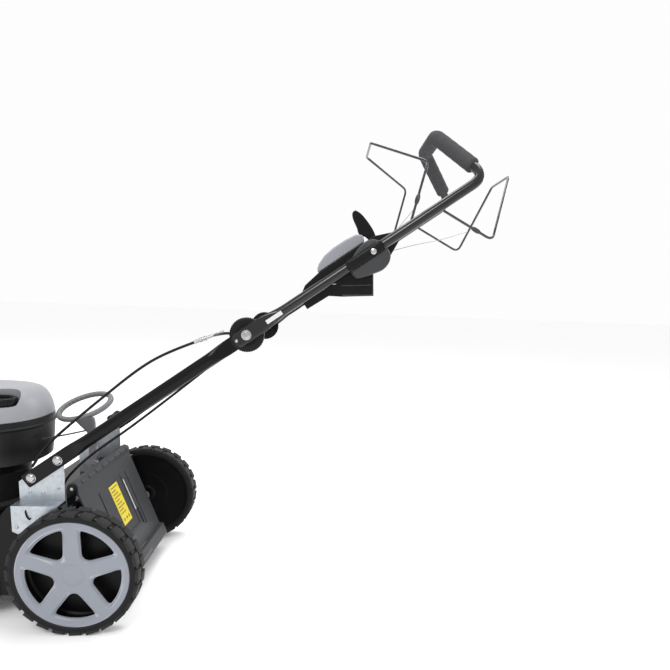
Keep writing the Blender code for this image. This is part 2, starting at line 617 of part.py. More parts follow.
def engine():
    seat = DECK_TOP_Z + GAP
    bore = SHAFT_R + RUN
    case = [(bore, seat), (CASE_FLANGE_R, seat), (CASE_FLANGE_R, seat + 0.010), (CASE_R, seat + 0.018),
            (CASE_R, CASE_TOP_Z - 0.020), (CASE_R * 0.75, CASE_TOP_Z), (bore, CASE_TOP_Z)]
    make("crankcase", turn(case, "Z", (SHAFT_X, 0, 0), 24), ALUMINIUM)

    back = SHAFT_X - CASE_R - 0.002
    core, fin, pitch, thick, count = 0.034, 0.052, 0.013, 0.004, 6
    outline = [(back, -core)]
    for i in range(count):
        x = back - 0.008 - pitch * i
        outline += [(x, -core), (x, -fin), (x - thick, -fin), (x - thick, -core)]
    end = back - 0.008 - pitch * count
    outline += [(end, -core), (end, core)]
    outline += [(x, -y) for x, y in reversed(outline[:-2])]
    make("cylinder", extrude_z(outline, 0.238, 0.318), ALUMINIUM)
    make("muffler", block((SHAFT_X - 0.165, SHAFT_X - 0.085), (0.080, 0.135), (0.240, 0.305), 0.008), BRIGHT_STEEL)
    make("air_filter", block((SHAFT_X - 0.150, SHAFT_X - 0.075), (-0.142, -0.085), (0.255, 0.318), 0.008),
         BLACK_PLASTIC)

    wall, lip = SHROUD_WALL, 0.003
    a, b = ENGINE_A - lip, ENGINE_B - lip
    top = COVER_LOW_Z - GAP
    shroud = make("engine_shroud", stack([(a - 0.009, b - 0.009, SHROUD_LOW_Z), (a - 0.001, b - 0.001, LIP_Z - 0.003),
                                          (ENGINE_A, ENGINE_B, LIP_Z - 0.002), (ENGINE_A, ENGINE_B, LIP_Z + 0.002),
                                          (a, b, LIP_Z + 0.003), (a, b, top)]), BLACK_PLASTIC)
    boolean(shroud, tool("shroud_inside", stack([(a - 0.009 - wall, b - 0.009 - wall, SHROUD_LOW_Z - 0.01),
                                                 (a - 0.001 - wall, b - 0.001 - wall, top - 0.006)])))
    starter_z = top - 0.006 - GAP
    starter = [(0, starter_z - 0.045), (0.030, starter_z - 0.045), (0.072, starter_z - 0.036), (0.078, starter_z),
               (0, starter_z)]
    make("recoil_starter", turn(starter, "Z", (SHAFT_X, 0, 0), 24), BLACK_PLASTIC)

    cover = make("engine_cover", stack([(a, b, COVER_LOW_Z), (a - 0.004, b - 0.004, COVER_LOW_Z + 0.025),
                                        (a - 0.012, b - 0.012, COVER_TOP_Z - 0.022),
                                        (a - 0.028, b - 0.028, COVER_TOP_Z - 0.006),
                                        (a - 0.050, b - 0.050, COVER_TOP_Z)]), GREY_PLASTIC)
    boolean(cover, tool("cover_inside", stack([(a - 0.010, b - 0.010, COVER_LOW_Z - 0.01),
                                               (a - 0.030, b - 0.030, COVER_LOW_Z + 0.026)])))
    well = [(0, CAP_WELL_Z), (CAP_R + 0.004, CAP_WELL_Z), (CAP_R + 0.007, COVER_TOP_Z + 0.01), (0, COVER_TOP_Z + 0.01)]
    boolean(cover, tool("cap_well", turn(well, "Z", (CAP_X, CAP_Y, 0), 24)))
    cap = [(0, CAP_WELL_Z + GAP), (CAP_R * 0.8, CAP_WELL_Z + GAP), (CAP_R * 0.8, CAP_WELL_Z + 0.003),
           (CAP_R, CAP_WELL_Z + 0.004), (CAP_R, CAP_WELL_Z + CAP_H), (CAP_R - 0.003, CAP_WELL_Z + CAP_H + 0.003),
           (0, CAP_WELL_Z + CAP_H + 0.003)]
    lid = make("fuel_cap", turn(cap, "Z", (CAP_X, CAP_Y, 0), 24), BLACK_PLASTIC)
    grip_z = CAP_WELL_Z + CAP_H
    boolean(lid, tool("cap_grip", block((CAP_X - 0.024, CAP_X + 0.024), (CAP_Y - 0.005, CAP_Y + 0.005),
                                        (grip_z - 0.004, grip_z + 0.010))), "UNION")
    stick = [(0, seat + 0.010 + GAP), (0.009, seat + 0.010 + GAP), (0.009, seat + 0.075), (0.015, seat + 0.076),
             (0.015, seat + 0.092), (0, seat + 0.092)]
    make("oil_dipstick", turn(stick, "Z", (SHAFT_X + 0.040, -CASE_R - 0.0095, 0), 12), BLACK_PLASTIC)


# ---------------------------------------------------------------- lower handle

def flat_tube(stations, steps=12):
    """A tube lofted through (u, side offset, half height, half breadth) along the handle."""
    rings = []
    for u, y, half_h, half_b in stations:
        power = 2.0 + 6.0 * max(0.0, 1.0 - half_b / 0.009)
        ring = []
        for k in range(steps):
            angle = math.tau * (k + 0.5) / steps
            c, s = math.cos(angle), math.sin(angle)
            ring.append(Vector((u, y + half_b * math.copysign(abs(c) ** (2 / power), c),
                                half_h * math.copysign(abs(s) ** (2 / power), s))))
        rings.append(ring)
    return loft(rings)


def bolt_hole(name, u, y, radius, parent):
    return tool(name, turn([(0, -0.02), (radius, -0.02), (radius, 0.02), (0, 0.02)], "Y", (u, y, 0), 12), parent)


def pivot_layers():
    """Sideways stack at the angle joint, from the inside: lower tube, two discs, upper tube."""
    first = ARM_Y - 0.012
    lower = (first, first + PIVOT_FLAT_T)
    lower_disc = (lower[1] + GAP, lower[1] + GAP + DISC_T)
    upper_disc = (lower_disc[1] + GAP, lower_disc[1] + GAP + DISC_T)
    upper = (upper_disc[1] + GAP, upper_disc[1] + GAP + PIVOT_FLAT_T)
    return lower, lower_disc, upper_disc, upper


def toothed_rim(phase):
    """Fine teeth round the edge of a joint disc."""
    rim = []
    for i in range(DISC_TEETH * 2):
        angle = math.tau * (i + phase) / (DISC_TEETH * 2)
        radius = DISC_R if i % 2 else DISC_R - 0.0012
        rim.append((radius * math.cos(angle), radius * math.sin(angle)))
    return rim


def bracket_outline():
    """Side view of a handle bracket above its shelf, from the rear axle line."""
    shelf = HUMP_TOP_Z + PLATE_T + GAP
    return [(-0.152, shelf - PLATE_T), (-0.052, shelf - PLATE_T), (-0.052, 0.352), (-0.064, 0.375), (-0.152, 0.314)]


def lower_handle(label, side):
    end_y = ARM_Y - 0.0057
    lower = pivot_layers()[0]
    flat_y = (lower[0] + lower[1]) / 2
    stations = [(-LOWER_LENGTH, end_y, FLAT_H, LOWER_END_T / 2), (FLAT_END_U, end_y, FLAT_H, LOWER_END_T / 2),
                (FLAT_END_U + 0.055, ARM_Y, LOWER_TUBE_H, LOWER_TUBE_B),
                (-0.100, ARM_Y, LOWER_TUBE_H, LOWER_TUBE_B),
                (-0.050, flat_y, FLAT_H, PIVOT_FLAT_T / 2), (0.010, flat_y, FLAT_H, PIVOT_FLAT_T / 2),
                (0.018, flat_y, FLAT_H * 0.5, PIVOT_FLAT_T / 2)]
    tube = make(f"lower_handle_{label}", flat_tube([(u, side * y, h, b) for u, y, h, b in stations]),
                BLACK_STEEL, LOWER_HANDLE)
    for place, u in (("front", FRONT_BOLT_U), ("rear", REAR_BOLT_U)):
        boolean(tube, bolt_hole(f"hole_{place}_{label}", u, side * end_y, BOLT_R + GAP, LOWER_HANDLE))
    disc = pivot_layers()[1]
    teeth = extrude_y(toothed_rim(0.0), *sorted((side * (lower[1] - 0.001), side * disc[1])))
    boolean(tube, tool(f"angle_disc_lower_{label}", teeth, LOWER_HANDLE), "UNION")
    boolean(tube, bolt_hole(f"hole_pivot_{label}", 0.0, side * flat_y, BOLT_R + RUN, LOWER_HANDLE))

    face = end_y - LOWER_END_T / 2 - GAP
    plate_span = sorted((side * face, side * (face - PLATE_T)))
    bracket = make(f"handle_bracket_{label}", extrude_y(bracket_outline(), *plate_span), GALVANISED)
    shelf_low = HUMP_TOP_Z + GAP
    out = HUMP_HALF + GAP + PLATE_T
    shelf = block((-0.152, -0.052), sorted((side * (face - PLATE_T), side * out)), (shelf_low, shelf_low + PLATE_T))
    boolean(bracket, tool(f"bracket_shelf_{label}", shelf), "UNION")
    tail = [(-0.152, 0.212), (-0.140, 0.206), (-0.052, 0.250), (-0.052, shelf_low + 0.001), (-0.152, shelf_low + 0.001)]
    boolean(bracket, tool(f"bracket_tail_{label}", extrude_y(tail, *sorted((side * (out - PLATE_T), side * out)))),
            "UNION")
    nut_span = (face - PLATE_T - GAP - 0.004, face - PLATE_T - GAP)
    strip = [(u + 0.5 * FLAT_H * c, 0.5 * FLAT_H * s) for u, c, s in
             ((FRONT_BOLT_U, -1, -1), (REAR_BOLT_U, 1, -1), (REAR_BOLT_U, 1, 1), (FRONT_BOLT_U, -1, 1))]
    bolts = make(f"bracket_bolts_{label}", extrude_y(strip, *sorted((side * nut_span[0], side * nut_span[1]))),
                 BRIGHT_STEEL, LOWER_HANDLE)
    outer = end_y + LOWER_END_T / 2 + GAP
    for place, u in (("front", FRONT_BOLT_U), ("rear", REAR_BOLT_U)):
        boolean(bracket, bolt_hole(f"hole_bracket_{place}_{label}", u, side * (face - PLATE_T / 2),
                                   BOLT_R + GAP, LOWER_HANDLE))
        bolt = [(0, nut_span[0] + 0.001), (BOLT_R, nut_span[0] + 0.001), (BOLT_R, outer), (0.0095, outer),
                (0.0085, outer + 0.003), (0, outer + 0.004)]
        boolean(bolts, tool(f"bolt_{place}_{label}", turn([(r, side * t) for r, t in bolt], "Y", (u, 0, 0), 12),
                            LOWER_HANDLE), "UNION")


# ---------------------------------------------------------------- upper handle

def half_loop():
    """Centre line of the right half of the loop, from the straight arm to the middle of the cross bar."""
    corners = [(0.560, ARM_Y, 0.0), (LOOP_U, ARM_Y, 0.0), (GRIP_U, GRIP_HALF, GRIP_W), (GRIP_U, 0.0, GRIP_W)]
    return fillet(corners, 0.032, 4)


def section_rings(path, sections, steps=10):
    """Section rings along a path; the height axis starts square to the arm and is carried on."""
    up = Vector((0, 0, 1))
    rings = []
    for i, point in enumerate(path):
        ahead = (path[min(i + 1, len(path) - 1)] - path[max(i - 1, 0)]).normalized()
        up = (up - ahead * up.dot(ahead)).normalized()
        side = ahead.cross(up)
        half_h, half_b = sections[i]
        power = 2.0 + 6.0 * max(0.0, 1.0 - half_b / 0.009) if half_h > half_b else 2.0
        ring = []
        for k in range(steps):
            angle = math.tau * (k + 0.5) / steps
            c, s = math.cos(angle), math.sin(angle)
            ring.append(point + side * half_b * math.copysign(abs(c) ** (2 / power), c)
                        + up * half_h * math.copysign(abs(s) ** (2 / power), s))
        rings.append(ring)
    return rings


def mirrored(rings):
    """Rings of the right half, which end on the plane y = 0, with their mirror images after them."""
    return rings + [[Vector((p.x, -p.y, p.z)) for p in ring] for ring in reversed(rings[:-1])]


def upper_handle():
    _, _, disc_span, flat_span = pivot_layers()
    flat_y = (flat_span[0] + flat_span[1]) / 2
    flat = (FLAT_H, PIVOT_FLAT_T / 2)
    tube = (UPPER_TUBE_R, UPPER_TUBE_R)
    arm = [((-0.030, flat_y), (FLAT_H * 0.6, PIVOT_FLAT_T / 2)), ((-0.022, flat_y), flat), ((0.030, flat_y), flat),
           ((0.050, flat_y), flat), ((0.105, ARM_Y), tube), ((0.150, ARM_Y), tube)]
    loop = half_loop()
    path = [Vector((u, y, 0)) for (u, y), _ in arm] + loop
    sections = [section for _, section in arm] + [tube] * len(loop)
    handle = make("upper_handle", loft(mirrored(section_rings(path, sections))), BLACK_STEEL, UPPER_HANDLE)
    for label, side in SIDES:
        boolean(handle, bolt_hole(f"hole_upper_{label}", 0.0, side * flat_y, BOLT_R + GAP, UPPER_HANDLE))
        plate = extrude_y(toothed_rim(1.0), *sorted((side * disc_span[0], side * disc_span[1])))
        disc = make(f"angle_disc_{label}", plate, BLACK_PLASTIC, UPPER_HANDLE)
        boolean(disc, bolt_hole(f"hole_disc_{label}", 0.0, side * (disc_span[0] + disc_span[1]) / 2, BOLT_R + GAP,
                                UPPER_HANDLE))
        inner, outer = pivot_layers()[0][0] - GAP, flat_span[1] + GAP
        bolt = [(0, inner - 0.006), (0.008, inner - 0.006), (0.008, inner), (BOLT_R, inner), (BOLT_R, outer),
                (0.0075, outer), (0.0075, outer + 0.004), (0, outer + 0.004)]
        make(f"angle_bolt_{label}", turn([(r, side * t) for r, t in bolt], "Y", (0, 0, 0), 12), BRIGHT_STEEL,
             UPPER_HANDLE)

    sleeve_r, bore_r = (GRIP_R, GRIP_R), (UPPER_TUBE_R + GAP, UPPER_TUBE_R + GAP)
    first = 5
    outside = section_rings(loop, [sleeve_r] * len(loop))[first:]
    inside = section_rings(loop, [bore_r] * len(loop))[first - 1:]
    sleeve = make("foam_grip", loft(mirrored(outside)), FOAM, UPPER_HANDLE)
    boolean(sleeve, tool("grip_bore", loft(mirrored(inside)), UPPER_HANDLE))


def bail(name, pivot_u, corner, top, top_half):
    """A wire bow: a stub into each arm, a leg along it, an upright leaning inwards and a cross bar."""
    stub = ARM_Y - UPPER_TUBE_R - GAP
    half = [(pivot_u, stub, 0.0), (pivot_u, BAIL_Y - 0.001, 0.0), (corner[0], BAIL_Y, corner[1]),
            (top[0], top_half, top[1]), (top[0], 0.0, top[1])]
    path = fillet(half, 0.016, 3)
    return make(name, loft(mirrored(wire_rings(path, BAIL_R, 6))), BRIGHT_STEEL, UPPER_HANDLE)


def bails():
    bail("drive_bail", DRIVE_BAIL_U, (0.564, -0.124), (0.700, -0.028), 0.066)
    bail("brake_bail", BRAKE_BAIL_U, (0.531, 0.093), (0.467, 0.207), 0.066)


# ---------------------------------------------------------------- console

def console():
    """Open-topped tray across both arms with a hanging box, a light rim and a cover on each arm."""
    half = CONSOLE_HALF
    side = [(CONSOLE_U, -0.026), (0.196, -0.028), (0.219, -0.045), (0.279, -0.082), (0.307, -0.038), (0.356, -0.030),
            (0.392, -0.012), (0.386, 0.012), (0.350, 0.026), (0.203, 0.026), (0.165, 0.020), (CONSOLE_U, 0.004)]
    body = make("console", extrude_y(side, -half, half), BLACK_PLASTIC, UPPER_HANDLE)
    tray = [(0.213, 0.040), (0.213, 0.000), (0.229, -0.038), (0.277, -0.070), (0.296, -0.034), (0.335, -0.014),
            (0.335, 0.040)]
    inner = half - 0.028
    boolean(body, tool("console_tray", extrude_y(tray, -inner, inner), UPPER_HANDLE))
    slot = (THROTTLE_Y[0] - SWING, THROTTLE_Y[1] + SWING)
    boolean(body, tool("console_slot", block((THROTTLE_U - 0.020, THROTTLE_U + 0.024), slot,
                                             (THROTTLE_W - THROTTLE_HUB_R - SWING, 0.060)), UPPER_HANDLE))
    pin = turn([(0, slot[0] - 0.001), (0.0025, slot[0] - 0.001), (0.0025, slot[1] + 0.001), (0, slot[1] + 0.001)],
               "Y", (THROTTLE_U, 0, THROTTLE_W), 12)
    boolean(body, tool("console_pin", pin, UPPER_HANDLE), "UNION")
    strip = [(0.204, 0.0265), (0.326, 0.0265), (0.331, 0.041), (0.318, 0.0505), (0.290, 0.0535), (0.262, 0.0535),
             (0.236, 0.050), (0.216, 0.042), (0.206, 0.034)]
    rim = make("console_rim", extrude_y(strip, -half, half), GREY_PLASTIC, UPPER_HANDLE)
    boolean(rim, tool("rim_window", block((0.220, 0.320), (-inner, inner), (0.01, 0.07)), UPPER_HANDLE))
    drop = [(0.263, -0.018), (0.270, -0.031), (0.302, -0.041), (0.326, -0.045), (0.346, -0.038), (0.357, -0.022),
            (0.352, 0.006), (0.340, 0.021), (0.318, 0.025), (0.290, 0.016), (0.266, 0.000)]
    for label, sign in SIDES:
        low = half + GAP
        high = ARM_Y + UPPER_TUBE_R + 0.009
        cover = make(f"tube_cover_{label}", extrude_y(drop, *sorted((sign * low, sign * high))), DARK_PLASTIC,
                     UPPER_HANDLE)
        bore = UPPER_TUBE_R + GAP
        boolean(cover, tool(f"cover_bore_{label}", turn([(0, 0.2), (bore, 0.2), (bore, 0.4), (0, 0.4)], "X",
                                                        (0, sign * ARM_Y, 0), 16), UPPER_HANDLE))


def throttle_lever():
    """Curved thumb lever on a hub inside the console."""
    fin = [(0.357, 0.104), (0.345, 0.100), (0.338, 0.082), (0.335, 0.062), (0.337, 0.040), (0.346, 0.031)]
    fin += [(THROTTLE_U + THROTTLE_HUB_R * math.cos(a), THROTTLE_W + THROTTLE_HUB_R * math.sin(a))
            for a in (math.radians(d) for d in (170, 215, 260, 305, 350))]
    fin += [(0.366, 0.032), (0.368, 0.042), (0.367, 0.072)]
    lever = make("throttle_lever", extrude_y(fin, *THROTTLE_Y), BLACK_PLASTIC, UPPER_HANDLE)
    middle = (THROTTLE_Y[0] + THROTTLE_Y[1]) / 2
    pin_r = 0.0025
    boolean(lever, tool("throttle_bore", turn([(0, -0.02), (pin_r + RUN, -0.02), (pin_r + RUN, 0.02), (0, 0.02)], "Y",
                                              (THROTTLE_U, middle, THROTTLE_W), 12), UPPER_HANDLE))


# ---------------------------------------------------------------- rear flap and height lever

def rear_flap():
    """A stiff plastic guard: a rolled hinge edge, a sloping sheet with side cheeks and a lip."""
    run, drop = math.sin(FLAP_SLOPE), math.cos(FLAP_SLOPE)
    r = FLAP_ROLL_R

    def place(along, out):
        return (r * 0.6 + along * run + out * drop, -along * drop + out * run)

    t = FLAP_T
    roll = [(r * math.cos(math.radians(a)), r * math.sin(math.radians(a))) for a in (20, 65, 110, 155, 200, 245)]
    outline = roll + [place(0.020, -t), place(FLAP_LENGTH - 0.020, -t), place(FLAP_LENGTH - 0.004, -t - 0.004),
                      place(FLAP_LENGTH, 0.010), place(FLAP_LENGTH - 0.030, 0.010), place(FLAP_LENGTH - 0.036, 0.0),
                      place(0.012, 0.0)]
    flap = make("rear_flap", extrude_y(outline, -FLAP_HALF, FLAP_HALF), DARK_PLASTIC, FLAP_FRAME)
    bore = FLAP_ROD_R + RUN
    boolean(flap, tool("flap_bore", turn([(0, -0.3), (bore, -0.3), (bore, 0.3), (0, 0.3)], "Y", (0, 0, 0), 12),
                       FLAP_FRAME))
    pocket = [place(0.045, -0.0015), place(0.185, -0.0015), place(0.185, 0.02), place(0.045, 0.02)]
    boolean(flap, tool("flap_pocket", extrude_y(pocket, -0.035, 0.055), FLAP_FRAME))
    reach = FLAP_HALF + SWING + SHEET
    make("flap_rod", turn([(0, -reach), (FLAP_ROD_R, -reach), (FLAP_ROD_R, reach), (0, reach)], "Y",
                          (FLAP_X, 0, FLAP_Z), 12), BRIGHT_STEEL)


def height_lever():
    """Ring-topped lever and the notched quadrant that holds it."""
    long_axis = Vector((math.cos(RING_PITCH), 0, math.sin(RING_PITCH)))
    short_axis = Vector((0, math.cos(RING_ROLL), math.sin(RING_ROLL)))
    normal = long_axis.cross(short_axis).normalized()
    middle = Vector((RING_X - LEVER_X, 0, RING_Z - LEVER_Z))
    rings = []
    for i in range(20):
        a = math.tau * i / 20
        out = long_axis * math.cos(a) + short_axis * math.sin(a)
        centre = middle + long_axis * RING_A * math.cos(a) + short_axis * RING_B * math.sin(a)
        rings.append([centre + out * RING_T * math.cos(b) + normal * RING_T * math.sin(b)
                      for b in (math.tau * j / 6 for j in range(6))])
    lever = make("height_lever", loft(rings, closed=True), GREY_PLASTIC, HEIGHT_FRAME)
    foot = middle - short_axis * RING_B
    path = [Vector((0, 0, 0)), Vector((0.002, 0, 0.050)), Vector((0.008, -0.006, 0.075)), foot + long_axis * 0.012]
    widths = [(0.010, 0.004), (0.010, 0.004), (0.010, 0.006), (0.026, 0.0062)]
    neck = loft([[point + Vector((wide * c, deep * s, 0)) for c, s in circle(1.0, 8, math.pi / 8)]
                 for point, (wide, deep) in zip(path, widths)])
    boolean(lever, tool("lever_neck", neck, HEIGHT_FRAME), "UNION")
    hub = turn([(0, -0.006), (0.016, -0.006), (0.016, 0.006), (0, 0.006)], "Y", (0, 0, 0), 16)
    boolean(lever, tool("lever_hub", hub, HEIGHT_FRAME), "UNION")
    boolean(lever, tool("lever_hub_bore", turn([(0, -0.02), (0.0045, -0.02), (0.0045, 0.02), (0, 0.02)], "Y",
                                               (0, 0, 0), 12), HEIGHT_FRAME))
    seat = HUMP_TOP_Z + GAP
    low, high = LEVER_Y + 0.0075, LEVER_Y + 0.0105
    arc = [(LEVER_X + 0.050 * math.sin(math.radians(a)), LEVER_Z + 0.050 * math.cos(math.radians(a)))
           for a in (10, -5, -20, -35, -50)]
    plate = make("height_quadrant", extrude_y([(LEVER_X + 0.014, seat)] + arc + [(LEVER_X - 0.038, seat)], low, high),
                 GALVANISED)
    pin = turn([(0, -0.0085), (0.004, -0.0085), (0.004, 0.009), (0, 0.009)], "Y", (LEVER_X, LEVER_Y, LEVER_Z), 12)
    boolean(plate, tool("quadrant_pin", pin), "UNION")


# ---------------------------------------------------------------- cables and starter rope

def cables():
    """Two cables held along the left arm; each stops a little short of the angle joint's axis."""
    stop = 0.0022
    cable("drive_cable_lower", [(-0.128, -0.156, 0.345), (-0.085, -0.160, 0.402), (0.030, -0.158, 0.505),
                                (0.140, -0.156, 0.592), (0.245, -0.154, 0.642), (0.300, -0.152, 0.660),
                                (PIVOT_X - stop, -0.150, PIVOT_Z)], 0.0028, MACHINE)
    cable("drive_cable_upper", [(stop, -0.150, 0.0), (0.050, -0.150, -0.008), (0.100, -0.148, -0.012),
                                (CONSOLE_U - GAP, -0.146, -0.012)], 0.0028, UPPER_HANDLE)
    cable("brake_cable_lower", [(-0.070, -0.146, 0.290), (-0.052, -0.144, 0.322), (0.000, -0.143, 0.372),
                                (0.090, -0.142, 0.440), (0.180, -0.141, 0.512), (0.280, -0.140, 0.595),
                                (PIVOT_X - stop, -0.139, PIVOT_Z)], 0.0025, MACHINE)
    cable("brake_cable_upper", [(stop, -0.139, 0.0), (0.050, -0.139, -0.008), (0.100, -0.138, -0.012),
                                (CONSOLE_U - GAP, -0.137, -0.012)], 0.0025, UPPER_HANDLE)


def starter_gear():
    """Rope from the shroud to a guide beside the right bracket, and the pull handle resting on it."""
    start = Vector(ROPE_START)
    end = Vector(ROPE_END)
    along = (end - start).normalized()
    eye = 0.0085
    make("starter_rope", wire([start, end - along * (eye + ROPE_R)], ROPE_R, 8), RUBBER)
    pull = Vector(PULL_AXIS).normalized()
    guide = wire([end - pull * 0.006, end + pull * 0.014], eye, 12)
    make("rope_guide", guide, BLACK_PLASTIC)
    foot = end + pull * (0.014 + GAP)
    side = Vector((0, 1, 0))
    side = (side - pull * side.dot(pull)).normalized()
    top = foot + pull * 0.024
    grip = make("starter_handle", wire([top - side * 0.030, top - side * 0.026, top + side * 0.026,
                                        top + side * 0.030], 0.0085, 10), BLACK_PLASTIC)
    boolean(grip, tool("starter_stem", wire([foot, top], 0.0065, 10)), "UNION")


for label, side in SIDES:
    rear_wheel(label, side)
    front_wheel(label, side)
deck()
front_end()
rear_axle()
gearbox()
drive_belt()
cutting_gear()
engine()
for label, side in SIDES:
    lower_handle(label, side)
upper_handle()
bails()
console()
throttle_lever()
rear_flap()
height_lever()
cables()
starter_gear()
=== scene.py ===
"""Looks of the walk-behind lawn mower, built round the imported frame.

+X points towards the operator, +Z up, and the ground is at z = 0. Two helper frames are used below:
axle() measures from the rear axle line, and arm() measures along the upper handle from its angle
joint (u up the tube, y across, w square to the tube). Pieces are modelled with operators. Only loft(),
for the handle tubes, the foam sleeve and the lever's ring and neck, skins its rings directly.
"""
import math

import bmesh
import bpy
from mathutils import Matrix, Vector


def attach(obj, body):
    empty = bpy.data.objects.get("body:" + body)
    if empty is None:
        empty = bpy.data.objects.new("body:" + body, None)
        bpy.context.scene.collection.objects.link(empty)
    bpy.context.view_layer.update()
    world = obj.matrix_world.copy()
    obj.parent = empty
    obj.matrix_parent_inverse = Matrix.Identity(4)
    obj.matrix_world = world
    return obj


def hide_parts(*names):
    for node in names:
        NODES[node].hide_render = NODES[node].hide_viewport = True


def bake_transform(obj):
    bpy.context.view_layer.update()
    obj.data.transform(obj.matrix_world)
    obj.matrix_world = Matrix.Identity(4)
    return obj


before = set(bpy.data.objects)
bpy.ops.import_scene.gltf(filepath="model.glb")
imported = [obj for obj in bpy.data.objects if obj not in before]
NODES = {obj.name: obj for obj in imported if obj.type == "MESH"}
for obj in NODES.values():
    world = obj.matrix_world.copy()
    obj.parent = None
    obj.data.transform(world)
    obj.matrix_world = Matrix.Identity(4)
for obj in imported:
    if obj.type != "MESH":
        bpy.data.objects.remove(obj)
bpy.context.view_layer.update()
SIDES = (("left", -1), ("right", 1))

# Sizes shared with the frame, in metres
SHIFT = -0.12357                        # where the rear axle line lies along X
REAR_R, FRONT_R = 0.140, 0.100          # tyres
REAR_RIM, FRONT_RIM = 0.1208, 0.082
WHEELBASE = 0.600
ENGINE_X = -0.343                       # middle of the engine
ENGINE_A, ENGINE_B = 0.182, 0.145       # its half length and half width at the lip
ENGINE_POWER = 2.3                      # how square its plan is; 2 is an ellipse
PIVOT = (0.3560, 0.6610)                # angle joint, x and z
TILT = math.radians(35.2)               # slope of the handle
ARM_Y, TUBE_R = 0.180, 0.0110           # handle tubes, from the middle line
FLAT_H, FLAT_B = 0.0165, 0.003          # half height and half thickness of a flattened tube end
END_Y = ARM_Y - 0.0057                  # middle of the lower tube's flattened foot
FOOT_B = 0.004                          # half thickness of that foot
GAP = 0.0003                            # between pieces that lie against each other
CONSOLE_HALF = 0.160
FLAP = (-0.038, 0.297)                  # guard's hinge, x and z
FLAP_SLOPE = math.radians(21.0)
FLAP_HALF = 0.163
RING = (-0.086, 0.030, 0.447)           # middle of the height lever's ring grip
LEVER = (-0.072, 0.030, 0.290)          # its pivot
TEETH = 45                              # of the discs at the angle joint
DISC_R, TOOTH_DEPTH = 0.038, 0.0012
FOOT_BOLTS = (("front", -0.583), ("rear", -0.510))      # along the handle
MERGE = 0.000002                        # points closer than this are one


def axle(x, y, z):
    return Vector((x + SHIFT, y, z))


def arm(u, y, w):
    c, s = math.cos(TILT), math.sin(TILT)
    return Vector((PIVOT[0] + SHIFT + u * c - w * s, y, PIVOT[1] + u * s + w * c))


# ---------------------------------------------------------------- materials

def node(tree, kind, **values):
    made = tree.nodes.new(kind)
    for key, value in values.items():
        if key.startswith("in_"):
            name = key[3:].replace("_", " ")
            made.inputs[int(name) if name.isdigit() else name].default_value = value
        else:
            setattr(made, key, value)
    return made


def surface_group():
    """Shared group: cloudy tone change, roughness change and a fine relief, from object coordinates."""
    group = bpy.data.node_groups.new("surface_detail", "ShaderNodeTree")
    face = group.interface
    for name, kind, value in (("Color", "NodeSocketColor", (0.5, 0.5, 0.5, 1)),
                              ("Tone", "NodeSocketFloat", 0.15), ("Cloud Scale", "NodeSocketFloat", 30.0),
                              ("Grain Scale", "NodeSocketFloat", 900.0), ("Grain", "NodeSocketFloat", 0.1),
                              ("Roughness", "NodeSocketFloat", 0.4), ("Wear", "NodeSocketFloat", 0.0),
                              ("Wear Color", "NodeSocketColor", (0.5, 0.5, 0.5, 1))):
        face.new_socket(name=name, in_out="INPUT", socket_type=kind).default_value = value
    for name, kind in (("Color", "NodeSocketColor"), ("Roughness", "NodeSocketFloat"),
                       ("Normal", "NodeSocketVector")):
        face.new_socket(name=name, in_out="OUTPUT", socket_type=kind)
    into, out = node(group, "NodeGroupInput"), node(group, "NodeGroupOutput")
    place = node(group, "ShaderNodeTexCoord")
    link = group.links.new
    cloud = node(group, "ShaderNodeTexNoise", in_Detail=4.0)
    link(place.outputs["Object"], cloud.inputs["Vector"])
    link(into.outputs["Cloud Scale"], cloud.inputs["Scale"])
    centred = node(group, "ShaderNodeMath", operation="SUBTRACT", in_1=0.5)
    link(cloud.outputs["Fac"], centred.inputs[0])
    amount = node(group, "ShaderNodeMath", operation="MULTIPLY")
    link(centred.outputs[0], amount.inputs[0])
    link(into.outputs["Tone"], amount.inputs[1])
    lift = node(group, "ShaderNodeMath", operation="ADD", in_1=1.0)
    link(amount.outputs[0], lift.inputs[0])
    tone = node(group, "ShaderNodeVectorMath", operation="SCALE")
    link(into.outputs["Color"], tone.inputs[0])
    link(lift.outputs[0], tone.inputs["Scale"])
    edge = node(group, "ShaderNodeNewGeometry")
    worn = node(group, "ShaderNodeMapRange", in_1=0.54, in_2=0.66)
    link(edge.outputs["Pointiness"], worn.inputs[0])
    rub = node(group, "ShaderNodeMath", operation="MULTIPLY", use_clamp=True)
    link(worn.outputs[0], rub.inputs[0])
    link(into.outputs["Wear"], rub.inputs[1])
    mix = node(group, "ShaderNodeMix", data_type="RGBA")
    link(rub.outputs[0], mix.inputs["Factor"])
    link(tone.outputs[0], mix.inputs[6])
    link(into.outputs["Wear Color"], mix.inputs[7])
    link(mix.outputs[2], out.inputs["Color"])
    rough = node(group, "ShaderNodeMath", operation="MULTIPLY_ADD", in_1=0.22)
    link(centred.outputs[0], rough.inputs[0])
    link(into.outputs["Roughness"], rough.inputs[2])
    link(rough.outputs[0], out.inputs["Roughness"])
    grain = node(group, "ShaderNodeTexNoise", in_Detail=2.0)
    link(place.outputs["Object"], grain.inputs["Vector"])
    link(into.outputs["Grain Scale"], grain.inputs["Scale"])
    bump = node(group, "ShaderNodeBump", in_Distance=0.0006)
    link(grain.outputs["Fac"], bump.inputs["Height"])
    link(into.outputs["Grain"], bump.inputs["Strength"])
    link(bump.outputs["Normal"], out.inputs["Normal"])
    return group


DETAIL = surface_group()


